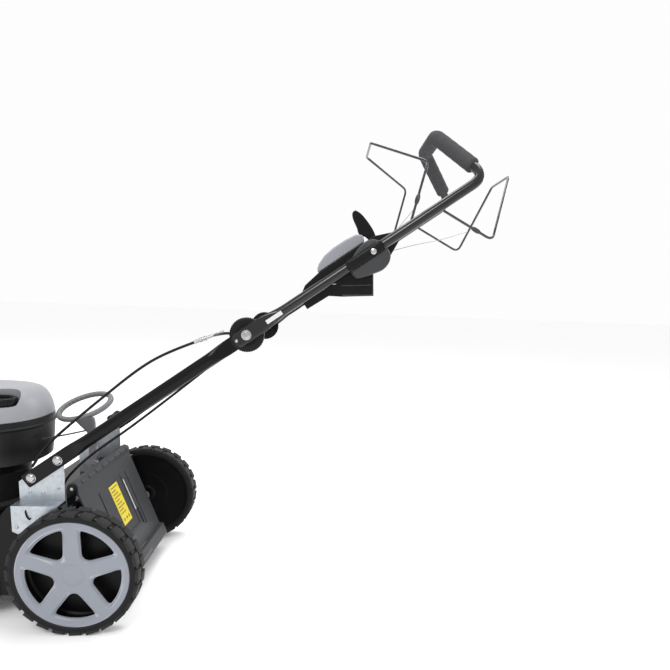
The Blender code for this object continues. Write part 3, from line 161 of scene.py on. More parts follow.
def material(name, colour, rough, metallic=0.0, tone=0.15, cloud=25.0, grain_scale=900.0, grain=0.1,
             wear=0.0, wear_colour=(0.3, 0.3, 0.3), coat=0.0, specular=0.5):
    made = bpy.data.materials.new(name)
    made.use_nodes = True
    tree = made.node_tree
    shader = tree.nodes["Principled BSDF"]
    detail = node(tree, "ShaderNodeGroup", node_tree=DETAIL)
    for key, value in (("Color", (*colour, 1)), ("Tone", tone), ("Cloud Scale", cloud),
                       ("Grain Scale", grain_scale), ("Grain", grain), ("Roughness", rough), ("Wear", wear),
                       ("Wear Color", (*wear_colour, 1))):
        detail.inputs[key].default_value = value
    tree.links.new(detail.outputs["Color"], shader.inputs["Base Color"])
    tree.links.new(detail.outputs["Roughness"], shader.inputs["Roughness"])
    tree.links.new(detail.outputs["Normal"], shader.inputs["Normal"])
    shader.inputs["Metallic"].default_value = metallic
    shader.inputs["Coat Weight"].default_value = coat
    shader.inputs["Coat Roughness"].default_value = 0.08
    shader.inputs["Specular IOR Level"].default_value = specular
    return made


def opened(made):
    """A material's nodes, its shader, and its object coordinates."""
    tree = made.node_tree
    return tree, tree.nodes["Principled BSDF"], node(tree, "ShaderNodeTexCoord")


def spangle(made, scale, strength):
    """Zinc spangle: cells of slightly different brightness over the metal."""
    tree, shader, place = opened(made)
    source = shader.inputs["Base Color"].links[0].from_socket
    cells = node(tree, "ShaderNodeTexVoronoi", in_Scale=scale)
    tree.links.new(place.outputs["Object"], cells.inputs["Vector"])
    ramp = node(tree, "ShaderNodeMapRange", in_3=1.0 - strength, in_4=1.0 + strength)
    tree.links.new(cells.outputs["Color"], ramp.inputs[0])
    scaled = node(tree, "ShaderNodeVectorMath", operation="SCALE")
    tree.links.new(source, scaled.inputs[0])
    tree.links.new(ramp.outputs[0], scaled.inputs["Scale"])
    tree.links.new(scaled.outputs[0], shader.inputs["Base Color"])
    return made


def strands(made, axis_scale, distance, vector):
    """Fine relief, stretched along the axes with a small share: cord strands or brushed steel."""
    tree, shader, place = opened(made)
    stretch = node(tree, "ShaderNodeMapping")
    stretch.inputs["Scale"].default_value = [axis_scale * v for v in vector]
    wave = node(tree, "ShaderNodeTexNoise", in_Scale=1.0, in_Detail=2.0)
    tree.links.new(place.outputs["Object"], stretch.inputs["Vector"])
    tree.links.new(stretch.outputs[0], wave.inputs["Vector"])
    bump = node(tree, "ShaderNodeBump", in_Distance=distance, in_Strength=0.5)
    tree.links.new(wave.outputs["Fac"], bump.inputs["Height"])
    old = shader.inputs["Normal"].links[0].from_socket
    tree.links.new(old, bump.inputs["Normal"])
    tree.links.new(bump.outputs["Normal"], shader.inputs["Normal"])
    return made


BLACK_PAINT = material("black_powder_coat", (0.0028, 0.0028, 0.0032), 0.20, coat=0.05, tone=0.3, cloud=14,
                       grain_scale=420, grain=0.05, wear=0.2, wear_colour=(0.015, 0.015, 0.016),
                       specular=0.14)
GLOSS_PAINT = material("black_gloss_paint", (0.0030, 0.0030, 0.0034), 0.16, coat=0.35, tone=0.3, cloud=14,
                       grain_scale=420, grain=0.03, wear=0.15, wear_colour=(0.015, 0.015, 0.016),
                       specular=0.30)
ZINC = spangle(material("zinc_plate", (0.40, 0.43, 0.46), 0.33, metallic=0.92, tone=0.35, cloud=45,
                        grain_scale=300, grain=0.08), 120.0, 0.12)
CHROME = material("bright_plate", (0.42, 0.42, 0.43), 0.16, metallic=1.0, tone=0.5, cloud=90, grain=0.02)
WIRE = material("bail_wire_plate", (0.055, 0.055, 0.060), 0.14, metallic=1.0, tone=1.5, cloud=70,
                grain=0.02, coat=0.5)
STEEL = strands(material("ground_steel", (0.50, 0.50, 0.51), 0.30, metallic=1.0, tone=0.25, cloud=20),
                   900, 0.0001, (1, 0.02, 0.02))
CAST = material("cast_aluminium", (0.50, 0.51, 0.52), 0.48, metallic=0.85, tone=0.3, cloud=40,
                grain_scale=520, grain=0.5)
CASE_BLACK = material("black_painted_casting", (0.012, 0.012, 0.013), 0.45, tone=0.3, cloud=40,
                      grain_scale=520, grain=0.4, specular=0.25)
RIM_GREY = material("silver_grey_plastic", (0.215, 0.228, 0.262), 0.36, tone=0.22, cloud=11,
                    grain_scale=1500, grain=0.05, wear=0.35, wear_colour=(0.52, 0.54, 0.58), specular=0.35)
COVER_GREY = material("cover_grey_plastic", (0.235, 0.240, 0.260), 0.34, tone=0.12, cloud=6,
                      grain_scale=1400, grain=0.06)
CHARCOAL = material("charcoal_plastic", (0.034, 0.035, 0.038), 0.52, specular=0.25, tone=0.25, cloud=18,
                    grain_scale=1100, grain=0.28, wear=0.35, wear_colour=(0.12, 0.12, 0.125))
MID_GREY = material("ribbed_grey_plastic", (0.09, 0.09, 0.095), 0.48, specular=0.3, tone=0.2, cloud=18,
                    grain_scale=900, grain=0.25)
SATIN_BLACK = material("satin_black_plastic", (0.0045, 0.0045, 0.005), 0.30, specular=0.16, tone=0.25,
                       cloud=16, grain_scale=1300, grain=0.16, wear=0.3, wear_colour=(0.05, 0.05, 0.052))
SHROUD_BLACK = material("shroud_plastic", (0.0085, 0.0085, 0.009), 0.40, specular=0.18, tone=0.25, cloud=10,
                        grain_scale=1200, grain=0.30, wear=0.4, wear_colour=(0.07, 0.07, 0.072))
RUBBER = material("tyre_rubber", (0.0075, 0.0075, 0.008), 0.60, specular=0.16, tone=0.3, cloud=22,
                  grain_scale=800, grain=0.22, wear=0.55, wear_colour=(0.10, 0.10, 0.102))
HOSE = material("cable_sheath", (0.004, 0.004, 0.0045), 0.30, specular=0.2, tone=0.15, cloud=30,
                grain_scale=1500, grain=0.05)
BRAID = strands(material("starter_cord", (0.020, 0.020, 0.022), 0.75, tone=0.4, cloud=200, grain=0.3),
                   900, 0.0004, (1, 1, 1))
BELT = material("drive_belt", (0.022, 0.020, 0.019), 0.7, tone=0.3, cloud=60, grain_scale=1400, grain=0.4)
FOAM = material("grip_foam", (0.050, 0.050, 0.054), 0.88, tone=0.30, cloud=140, grain_scale=1700,
                grain=0.85, specular=0.25)
LABEL = material("plain_yellow_label", (0.62, 0.50, 0.02), 0.42, tone=0.10, cloud=60, grain=0.03)
LABEL_BARS = material("label_bars", (0.20, 0.15, 0.02), 0.5, tone=0.2, cloud=300, grain=0.02)
PAPER = material("plain_white_label", (0.55, 0.55, 0.55), 0.5, tone=0.10, cloud=60, grain=0.03)
LEVER_GREY = material("lever_grey_plastic", (0.13, 0.13, 0.14), 0.44, tone=0.2, cloud=30, grain_scale=900,
                      grain=0.25, wear=0.5, wear_colour=(0.34, 0.34, 0.36))
DISH_BLACK = material("dish_black_plastic", (0.004, 0.004, 0.0045), 0.38, tone=0.25, cloud=16,
                      grain_scale=1300, grain=0.12, specular=0.12)


# ---------------------------------------------------------------- modelling by hand

def deselect():
    if bpy.context.mode != "OBJECT":
        bpy.ops.object.mode_set(mode="OBJECT")
    bpy.ops.object.select_all(action="DESELECT")


def only(*pieces):
    deselect()
    for piece in pieces:
        piece.select_set(True)
    bpy.context.view_layer.objects.active = pieces[0]
    return pieces[0]


def placed(name, data):
    """A new object with its own data, in the scene."""
    piece = bpy.data.objects.new(name, data)
    bpy.context.collection.objects.link(piece)
    return piece


def begin(name):
    """Name the new primitive, bring its origin to the world's and open it with all selected."""
    piece = bpy.context.object
    piece.name = piece.data.name = name
    bpy.ops.object.transform_apply(location=True, rotation=True, scale=True)
    bpy.ops.object.mode_set(mode="EDIT")
    bpy.ops.mesh.select_all(action="SELECT")
    return piece


def close_up(piece):
    """Merge doubles, turn the faces outwards and leave edit mode."""
    bpy.ops.mesh.select_all(action="SELECT")
    bpy.ops.mesh.remove_doubles(threshold=MERGE)
    bpy.ops.mesh.normals_make_consistent(inside=False)
    bpy.ops.object.mode_set(mode="OBJECT")
    return piece


def draw(name, points, closed=True):
    """Draw an outline point by point from a plane merged to one vertex; it stays open in edit mode."""
    deselect()
    bpy.ops.mesh.primitive_plane_add(size=0.01, location=points[0])
    piece = begin(name)
    bpy.ops.mesh.merge(type="CENTER")
    way = list(points) + (list(points[:1]) if closed else [])
    for here, there in zip(way, way[1:]):
        bpy.ops.mesh.extrude_vertices_move(TRANSFORM_OT_translate={"value": there - here})
    bpy.ops.mesh.select_all(action="SELECT")
    bpy.ops.mesh.remove_doubles(threshold=MERGE)
    return piece


def slab(name, outline, push):
    """An outline filled and pushed to a solid."""
    piece = draw(name, outline)
    bpy.ops.mesh.edge_face_add()
    bpy.ops.mesh.extrude_region_move(TRANSFORM_OT_translate={"value": push})
    return close_up(piece)


def grown(name, outline, centre, steps):
    """An outline filled, then pushed and scaled about the centre again and again."""
    piece = draw(name, outline)
    bpy.ops.mesh.edge_face_add()
    centre = Vector(centre)
    for push, scale in steps:
        centre = centre + Vector(push)
        bpy.ops.mesh.extrude_region_move(TRANSFORM_OT_translate={"value": push})
        bpy.ops.transform.resize(value=scale, center_override=centre)
    return close_up(piece)


def turned(name, profile, axis, centre, steps=96):
    """A profile of (radius, offset along the axis) spun once round; it may start and end on the axis."""
    along = {"Y": Vector((0, 1, 0)), "Z": Vector((0, 0, 1))}[axis]
    side = {"Y": Vector((0, 0, 1)), "Z": Vector((1, 0, 0))}[axis]
    centre = Vector(centre)
    piece = draw(name, [centre + side * r + along * t for r, t in profile], closed=profile[0][0] > 0)
    bpy.ops.mesh.spin(steps=steps, angle=math.tau, center=centre, axis=along, use_auto_merge=True)
    return close_up(piece)


def turned_outwards(name, profile, side, centre, steps=96):
    """A profile of (radius, offset away from the middle line) spun about a crosswise axis."""
    return turned(name, [(r, side * t) for r, t in profile], "Y", centre, steps)


def outwards(side, *levels):
    """Steps for grown(): each pushed away from the middle line and scaled in its own plane."""
    return [((0, side * push, 0), (scale, 1, scale)) for push, scale in levels]


def round_again(piece, count, centre, axis=(0, 1, 0)):
    """Copy a piece round an axis by spinning duplicates."""
    only(piece)
    bpy.ops.object.mode_set(mode="EDIT")
    bpy.ops.mesh.select_all(action="SELECT")
    bpy.ops.mesh.spin(steps=count - 1, dupli=True, angle=math.tau * (count - 1) / count, center=centre,
                      axis=axis)
    return close_up(piece)


def cube(name, place, size, bevel=0.0):
    """A block of the given size, its edges bevelled."""
    deselect()
    bpy.ops.mesh.primitive_cube_add(size=1.0, location=place, scale=size)
    piece = begin(name)
    if bevel:
        bpy.ops.mesh.bevel(offset=bevel, segments=2, affect="EDGES")
    return close_up(piece)


def tube(name, path, radius, sides=16):
    """A round wire along a path, with one radius or one for each point."""
    deselect()
    radii = radius if hasattr(radius, "__len__") else [radius] * len(path)
    line = bpy.data.curves.new(name, "CURVE")
    line.dimensions = "3D"
    line.bevel_depth = 1.0
    line.bevel_resolution = sides // 4
    line.use_fill_caps = True
    spline = line.splines.new("POLY")
    spline.points.add(len(path) - 1)
    for point, place, r in zip(spline.points, path, radii):
        point.co = (*place, 1)
        point.radius = r
    only(placed(name, line))
    bpy.ops.object.convert(target="MESH")
    bpy.ops.object.mode_set(mode="EDIT")
    return close_up(bpy.context.object)


def loft(name, rings, closed=False):
    """Skin rings of points, for shapes whose section changes along a bent line."""
    bm = bmesh.new()
    loops = [[bm.verts.new(point) for point in ring] for ring in rings]
    pairs = list(zip(loops, loops[1:]))
    if closed:
        pairs.append((loops[-1], loops[0]))
    else:
        bm.faces.new(loops[0])
        bm.faces.new(loops[-1])
    count = len(loops[0])
    for low, high in pairs:
        for i in range(count):
            j = (i + 1) % count
            bm.faces.new((low[i], low[j], high[j], high[i]))
    mesh = bpy.data.meshes.new(name)
    bm.to_mesh(mesh)
    bm.free()
    piece = only(placed(name, mesh))
    bpy.ops.object.mode_set(mode="EDIT")
    return close_up(piece)


def settle(piece):
    """Put the piece's place, turn and size into its mesh."""
    only(piece)
    bpy.ops.object.transform_apply(location=True, rotation=True, scale=True)
    return piece


def laid(piece, place, direction):
    """Point the piece's Z axis in a direction and lay it on its place."""
    piece.rotation_mode = "QUATERNION"
    piece.rotation_quaternion = Vector(direction).to_track_quat("Z", "Y")
    piece.location = place
    return settle(piece)


def turned_block(name, place, size, turn, bevel=0.0):
    """A block turned about its own middle and laid on its place."""
    block = cube(name, (0, 0, 0), size, bevel)
    block.location, block.rotation_euler = place, turn
    return settle(block)


def joined(name, *pieces):
    only(*pieces)
    if len(pieces) > 1:
        bpy.ops.object.join()
    piece = bpy.context.object
    piece.name = piece.data.name = name
    return piece


def apply(piece, kind, **values):
    """Add a modifier and apply it."""
    only(piece)
    step = piece.modifiers.new(kind.lower(), kind)
    for key, value in values.items():
        setattr(step, key, value)
    bpy.ops.object.modifier_apply(modifier=step.name)
    return piece


def round_edges(piece, width, segments, sharper_than):
    """Round the edges that turn by more than an angle in degrees."""
    return apply(piece, "BEVEL", width=width, segments=segments, limit_method="ANGLE",
                 angle_limit=math.radians(sharper_than))


def cut(piece, *tools):
    """Cut each tool out of the piece."""
    for tool in tools:
        apply(piece, "BOOLEAN", object=tool, solver="EXACT", operation="DIFFERENCE")
        bpy.data.objects.remove(tool)
    return piece


def finish(piece, surface, body, bevel=0.0, segments=2, smooth=35.0, replaces=()):
    """Round the edges, smooth the shading, paint the piece and tie it to its body."""
    if bevel:
        round_edges(piece, bevel, segments, 30)
    only(piece)
    piece.data.materials.clear()
    piece.data.materials.append(surface)
    bpy.ops.object.shade_smooth_by_angle(angle=math.radians(smooth))
    if bevel:
        apply(piece, "WEIGHTED_NORMAL", keep_sharp=True)
    if replaces:
        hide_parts(*replaces)
    if body:
        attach(piece, body)
    return piece


def dress(name, surface, bevel):
    """Material, rounded edges and clean shading for a CAD node that stays."""
    body = NODES[name]
    mesh = body.data
    if "custom_normal" in mesh.attributes:
        mesh.attributes.remove(mesh.attributes["custom_normal"])
    mesh.shade_smooth()
    mesh.materials.clear()
    mesh.materials.append(surface)
    weld = body.modifiers.new("weld", "WELD")
    weld.merge_threshold = 10 * MERGE
    rounding = body.modifiers.new("rounding", "BEVEL")
    rounding.width = bevel
    rounding.segments = 2
    rounding.limit_method = "ANGLE"
    rounding.angle_limit = math.radians(32)
    shade = body.modifiers.new("normals", "WEIGHTED_NORMAL")
    shade.keep_sharp = False


# ---------------------------------------------------------------- lines and sections

def fillet(points, radius, steps=10):
    """A line through corners, each rounded off."""
    points = [Vector(p) for p in points]
    path = [points[0]]
    for before, here, after in zip(points, points[1:], points[2:]):
        back, ahead = (before - here).normalized(), (after - here).normalized()
        half = back.angle(ahead) / 2
        reach = min(radius / math.tan(half), 0.45 * (before - here).length, 0.45 * (after - here).length)
        start, end = here + back * reach, here + ahead * reach
        for i in range(steps + 1):
            t = i / steps
            path.append(start.lerp(here, t).lerp(here.lerp(end, t), t))
    path.append(points[-1])
    return path


def smooth_path(points, spacing):
    """A smooth line through all the points, with a point every spacing."""
    points = [Vector(p) for p in points]
    ends = [points[0] * 2 - points[1]] + points + [points[-1] * 2 - points[-2]]
    fine = []
    for p0, p1, p2, p3 in zip(ends, ends[1:], ends[2:], ends[3:]):
        count = max(2, round((p2 - p1).length / spacing))
        for k in range(count):
            t = k / count
            fine.append(0.5 * ((2 * p1) + (p2 - p0) * t + (2 * p0 - 5 * p1 + 4 * p2 - p3) * t * t
                               + (3 * p1 - p0 - 3 * p2 + p3) * t * t * t))
    return fine + [points[-1]]


def section_rings(path, sections, steps=32):
    """Rings that keep their height axis square to the arm, for tubes that flatten."""
    up = Vector((-math.sin(TILT), 0, math.cos(TILT)))
    rings = []
    for i, point in enumerate(path):
        ahead = (path[min(i + 1, len(path) - 1)] - path[max(i - 1, 0)]).normalized()
        up = (up - ahead * up.dot(ahead)).normalized()
        side = ahead.cross(up)
        half_h, half_b = sections[i]
        power = 2.0 + 5.0 * max(0.0, 1.0 - half_b / 0.009) if half_h > half_b else 2.0
        ring = []
        for k in range(steps):
            a = math.tau * (k + 0.5) / steps
            c, s = math.cos(a), math.sin(a)
            ring.append(point + side * half_b * squared_off(c, 2 / power)
                        + up * half_h * squared_off(s, 2 / power))
        rings.append(ring)
    return rings


def mirrored(rings):
    return rings + [[Vector((p.x, -p.y, p.z)) for p in ring] for ring in reversed(rings[:-1])]


def mirrored_line(path):
    return path + [Vector((p.x, -p.y, p.z)) for p in reversed(path[:-1])]


def squared_off(value, power):
    """A cosine or sine raised to a power below 1, which squares the circle off."""
    return math.copysign(abs(value) ** power, value)


def round_angles(count):
    return [math.tau * k / count for k in range(count)]


def ease(t):
    t = max(0.0, min(1.0, t))
    return t * t * (3 - 2 * t)


# ---------------------------------------------------------------- bolts and screws

def screw_master():
    """A domed head on a washer with a cross recess, 1 in radius and 1 high, to be copied."""
    profile = [(0.0, 0.0), (1.25, 0.0), (1.25, 0.12), (1.0, 0.16), (1.0, 0.55), (0.85, 0.84), (0.55, 0.97),
               (0.0, 1.0)]
    head = turned("head", profile, "Z", (0, 0, 0), 36)
    for turn_by in (0.0, math.pi / 2):
        slot = cube("slot", (0, 0, 0.92), (0.95, 0.2, 0.5))
        slot.rotation_euler.z = turn_by
        cut(head, settle(slot))
    return round_edges(head, 0.04, 1, 40)


def screw(name, centre, direction, radius, height, surface, body):
    """A copy of the modelled head, laid on its place."""
    head = placed(name, SCREW_HEAD.data.copy())
    head.scale = (radius, radius, height)
    return finish(laid(head, centre, direction), surface, body, smooth=40)


# ---------------------------------------------------------------- wheels

def tyre(name, x, middle, radius, rim, width, lugs, body, depth):
    """A spun carcass with two rows of blocks half a pitch apart, and a shoulder block at each end."""
    half = width / 2
    base = radius - depth
    centre = axle(x, middle, radius)
    crown = [(rim + 0.0003, half - 0.002), (rim + 0.003, half - 0.0004), (base - 0.010, half),
             (base - 0.004, half - 0.001), (base - 0.0006, half - 0.004), (base, half * 0.6),
             (base + 0.0006, half * 0.2), (base - 0.0012, 0.0)]
    profile = [(r, -t) for r, t in crown] + [(r, t) for r, t in reversed(crown[:-1])]
    carcass = turned("carcass", profile, "Y", centre, lugs * 8)
    pitch = math.tau / lugs
    wide = radius * pitch
    for row in (-1, 1):
        deselect()
        bpy.ops.mesh.primitive_cylinder_add(vertices=20, radius=wide * 0.19, depth=0.006,
                                            location=(0, 0, 0))
        pocket = close_up(begin("pocket"))
        pocket.location = centre + Vector((0, row * half, base))
        settle(pocket)
        turn_by = Matrix.Translation(centre) @ Matrix.Rotation(pitch * (0.5 if row < 0 else 0.0), 4, "Y")
        pocket.data.transform(turn_by @ Matrix.Translation(-centre))
        cut(carcass, round_again(pocket, lugs, centre))
    blocks = []
    for row in (-1, 1):
        block = turned_block("block", (0, row * half * 0.52, radius - depth - 0.0008),
                             (wide * 0.72, half * 0.86, depth * 2), (0, 0, row * 0.10), 0.0006)
        shoulder = turned_block("shoulder", (0, row * (half - 0.0040), radius - depth - 0.0012),
                                (wide * 0.60, 0.0044, 0.0065), (-row * math.radians(30), 0, 0), 0.0010)
        pair = joined("pair", block, shoulder)
        pair.rotation_euler.y = (0.0 if row < 0 else 0.5) * pitch
        pair.location = centre
        blocks.append(round_again(settle(pair), lugs, centre))
    whole = joined(f"look_{name}", carcass, *blocks)
    finish(whole, RUBBER, body, smooth=38, replaces=(name,))


def window_outline(centre, middle_angle, inner, outer, spoke_in, spoke_out, bend, level):
    """Rounded triangle between two spokes, its point towards the hub."""
    reach_in = (math.pi / 5 - math.asin(min(0.95, spoke_in / inner))) * 0.6
    reach_out = math.pi / 5 - math.asin(spoke_out / outer)
    polar = [(inner, -reach_in), (inner, reach_in)]
    polar += [(outer, reach_out * (1 - k / 6)) for k in range(13)]
    corners = [Vector((r * math.sin(middle_angle + a), 0,
                       r * math.cos(middle_angle + a))) for r, a in polar]
    count = len(corners)
    outline = []
    for k in range(count):
        before, here, after = corners[k - 1], corners[k], corners[(k + 1) % count]
        radius = bend if k in (0, 1) else (bend * 1.5 if k in (2, count - 1) else 0.0)
        if not radius:
            outline.append(here)
            continue
        back, ahead = before - here, after - here
        start = here + back.normalized() * min(radius, back.length * 0.48)
        end = here + ahead.normalized() * min(radius, ahead.length * (0.48 if k == 1 or k == 0 else 0.9))
        for j in range(6):
            t = j / 5
            outline.append(start.lerp(here, t).lerp(here.lerp(end, t), t))
    return [centre + point + Vector((0, level, 0)) for point in outline]


def cut_windows(piece, centre, side, face, depth, **shape):
    """Five through windows, each in a shallow recess a little larger than itself."""
    outline = window_outline(centre, math.pi / 5, level=0.0, **shape)
    middle = sum(outline, Vector()) / len(outline)
    through = slab("window", [p + Vector((0, side * (face + 0.02), 0)) for p in outline],
                   (0, -side * (depth + 0.03), 0))
    floor = [middle + (p - middle) * 1.04 + Vector((0, side * (face - 0.0034), 0)) for p in outline]
    centre_line = middle + Vector((0, side * (face - 0.0034), 0))
    recess = grown("recess", floor, centre_line,
                   outwards(side, (0.0022, 1.06), (0.0016, 1.07), (0.0100, 1.02)))
    cut(piece, round_again(recess, 5, centre), round_again(through, 5, centre))


def wheels():
    for label, side in SIDES:
        body = f"rear_wheel_{label}"
        middle = side * 0.246
        centre = axle(0, middle, REAR_R)
        tyre(f"rear_tyre_{label}", 0.0, middle, REAR_R, REAR_RIM, 0.048, 24, body, 0.0036)
        bore, hub, rim, web = 0.0075, 0.020, REAR_RIM, 0.110
        dish = [(bore, -0.021), (hub - 0.001, -0.021), (hub, -0.020), (hub + 0.004, -0.015),
                (0.055, -0.0165), (0.058, -0.0180), (0.062, -0.0165), (web, -0.018), (rim - 0.006, -0.0195),
                (rim - 0.001, -0.021), (rim, -0.020), (rim, 0.012), (rim - 0.009, 0.012), (web, -0.010),
                (web - 0.004, -0.014), (hub + 0.004, -0.011), (hub, 0.012), (bore, 0.012)]
        dished = turned_outwards(f"look_wheel_body_{label}", dish, side, centre)
        finish(dished, DISH_BLACK, body, bevel=0.0004,
               replaces=(f"rear_wheel_body_{label}",))
        face = [(0.0, 0.0216), (0.008, 0.0215), (0.016, 0.0211), (0.0215, 0.0203), (0.0238, 0.0190),
                (0.0255, 0.0184), (0.0300, 0.0183), (0.0345, 0.0189), (0.0500, 0.0192), (0.0900, 0.0196),
                (0.1085, 0.0203), (0.1125, 0.0206), (0.1145, 0.0214), (0.1165, 0.0219), (0.1185, 0.0219),
                (rim - 0.0006, 0.0213), (rim, 0.0202), (rim, 0.0123), (0.1120, 0.0123), (0.1085, 0.0136),
                (0.0900, 0.0132), (0.0300, 0.0128), (0.0, 0.0126)]
        cover = turned_outwards(f"look_wheel_cover_{label}", face, side, centre)
        cut_windows(cover, centre, side, 0.0196, 0.01, inner=0.044, outer=0.1020, spoke_in=0.0145,
                    spoke_out=0.0175, bend=0.010)
        finish(cover, RIM_GREY, body, bevel=0.0007, segments=3, smooth=30,
               replaces=(f"rear_wheel_cover_{label}",))

        body = f"front_wheel_{label}"
        middle = side * 0.2485
        centre = axle(-WHEELBASE, middle, FRONT_R)
        tyre(f"front_tyre_{label}", -WHEELBASE, middle, FRONT_R, FRONT_RIM, 0.043, 18, body, 0.0032)
        rim = FRONT_RIM
        face = [(0.0, 0.0160), (0.010, 0.0158), (0.017, 0.0152), (0.0195, 0.0142), (0.021, 0.0131),
                (0.030, 0.0129), (0.0680, 0.0131), (0.0700, 0.0150), (rim - 0.008, 0.0172),
                (rim - 0.004, 0.0179), (rim - 0.0008, 0.0179), (rim, 0.0170), (rim, -0.0172),
                (rim - 0.001, -0.0180), (rim - 0.010, -0.0180), (0.0700, -0.0150), (0.0690, 0.0040),
                (0.0220, 0.0040), (0.0210, -0.0180), (0.0076, -0.0180), (0.0076, 0.0122), (0.0, 0.0122)]
        wheel = turned_outwards(f"look_front_wheel_{label}", face, side, centre, 80)
        cut_windows(wheel, centre, side, 0.0131, 0.02, inner=0.033, outer=0.0630, spoke_in=0.0095,
                    spoke_out=0.0120, bend=0.007)
        finish(wheel, RIM_GREY, body, bevel=0.0006, segments=2, smooth=30,
               replaces=(f"front_wheel_{label}",))


# ---------------------------------------------------------------- engine

def plan(half_x, half_y, z):
    """The engine seen from above, as points at one height."""
    outline = []
    for a in round_angles(96):
        c, s = math.cos(a), math.sin(a)
        outline.append(axle(ENGINE_X + half_x * squared_off(c, 2 / ENGINE_POWER),
                            half_y * squared_off(s, 2 / ENGINE_POWER), z))
    return outline


def stacked(name, levels):
    """The engine's plan pushed up and scaled through levels of (half length, half width, height)."""
    a, b, z = levels[0]
    steps = []
    for (a0, b0, z0), (a1, b1, z1) in zip(levels, levels[1:]):
        steps.append(((0, 0, z1 - z0), (a1 / a0, b1 / b0, 1)))
    return grown(name, plan(a, b, z), axle(ENGINE_X, 0, z), steps)


def engine():
    lip, wall = 0.003, 0.003
    a, b = ENGINE_A - lip, ENGINE_B - lip
    low, lip_z, top = 0.322, 0.412, 0.4297
    shroud = stacked("look_shroud", [
        (a - 0.012, b - 0.012, low), (a - 0.009, b - 0.009, low + 0.002),
        (a - 0.004, b - 0.004, low + 0.045), (a - 0.001, b - 0.001, lip_z - 0.005),
        (ENGINE_A - 0.0006, ENGINE_B - 0.0006, lip_z - 0.0026), (ENGINE_A, ENGINE_B, lip_z - 0.001),
        (ENGINE_A, ENGINE_B, lip_z + 0.0012), (ENGINE_A - 0.0008, ENGINE_B - 0.0008, lip_z + 0.0022),
        (a + 0.0003, b + 0.0003, lip_z + 0.0036), (a, b, lip_z + 0.0045), (a, b, top - 0.0012),
        (a - 0.001, b - 0.001, top)])
    cut(shroud, stacked("inside", [(a - 0.009 - wall, b - 0.009 - wall, low - 0.01),
                                   (a - 0.001 - wall, b - 0.001 - wall, top - 0.006)]))
    finish(shroud, SHROUD_BLACK, "chassis", smooth=40, replaces=("engine_shroud",))

    base, high = 0.4300, 0.5000
    cover = stacked("look_cover", [
        (a - 0.0010, b - 0.0010, base), (a, b, base + 0.0012), (a - 0.0012, b - 0.0012, base + 0.012),
        (a - 0.0038, b - 0.0038, base + 0.025), (a - 0.0072, b - 0.0072, base + 0.036),
        (a - 0.0118, b - 0.0118, base + 0.047), (a - 0.0180, b - 0.0180, base + 0.0565),
        (a - 0.0265, b - 0.0265, base + 0.0635), (a - 0.0370, b - 0.0370, base + 0.0676),
        (a - 0.0490, b - 0.0490, base + 0.0692), (a - 0.062, b - 0.062, high - 0.0002),
        (a - 0.078, b - 0.078, high)])
    cut(cover, stacked("hollow", [(a - 0.010, b - 0.010, base - 0.01),
                                  (a - 0.030, b - 0.030, base + 0.026)]))
    cap_x, cap_y, cap_r, well = -0.232, -0.070, 0.031, 0.466
    cut(cover, turned("well", [(0, well), (cap_r + 0.003, well), (cap_r + 0.0052, well + 0.003),
                               (cap_r + 0.0072, high + 0.01), (0, high + 0.01)], "Z", axle(cap_x, cap_y, 0),
                               64))
    finish(cover, COVER_GREY, "chassis", bevel=0.0011, segments=3, smooth=32,
           replaces=("engine_cover",))

    centre = axle(cap_x, cap_y, 0)
    cap = turned("cap", [(0.0, 0.4663), (0.0245, 0.4663), (0.0248, 0.469), (0.0300, 0.4700),
                         (cap_r - 0.0008, 0.4712), (cap_r - 0.0008, 0.4820), (0.0296, 0.4838),
                         (0.0278, 0.4856), (0.0235, 0.4862), (0.0225, 0.4855),
                         (0.0, 0.4855)], "Z", centre, 96)
    rib = cube("rib", centre + Vector((cap_r - 0.0010, 0, 0.4765)), (0.0020, 0.0022, 0.0115), 0.0005)
    crest = [(-0.0240, 0.4850), (-0.0225, 0.4905), (-0.0180, 0.4927), (0.0180, 0.4927), (0.0225, 0.4905),
             (0.0240, 0.4850)]
    grip = slab("grip", [axle(cap_x + x, cap_y - 0.005, z) for x, z in crest], (0, 0.010, 0))
    apply(grip, "BEVEL", width=0.0012, segments=2)
    cap = joined("look_fuel_cap", cap, round_again(rib, 28, centre, (0, 0, 1)), grip)
    finish(cap, SATIN_BLACK, "fuel_cap", smooth=38, replaces=("fuel_cap",))

    louvre = cube("louvre", (0, 0, 0), (0.0045, 0.008, 0.042), 0.0012)
    slats = []
    for k in range(22):
        angle = math.radians(62 + 236 * k / 21)
        c, s = math.cos(angle), math.sin(angle)
        across = (a - 0.0045) * squared_off(c, 2 / ENGINE_POWER)
        along = (b - 0.0045) * squared_off(s, 2 / ENGINE_POWER)
        slat = placed("slat", louvre.data.copy())
        slat.location = axle(ENGINE_X + across, along, 0.373)
        slat.rotation_euler = (0, 0, math.atan2(along / b ** 2, across / a ** 2))
        slats.append(slat)
    bpy.data.objects.remove(louvre)
    whole = settle(joined("look_louvres", *slats))
    finish(whole, SATIN_BLACK, "chassis", smooth=35)


# ---------------------------------------------------------------- handle

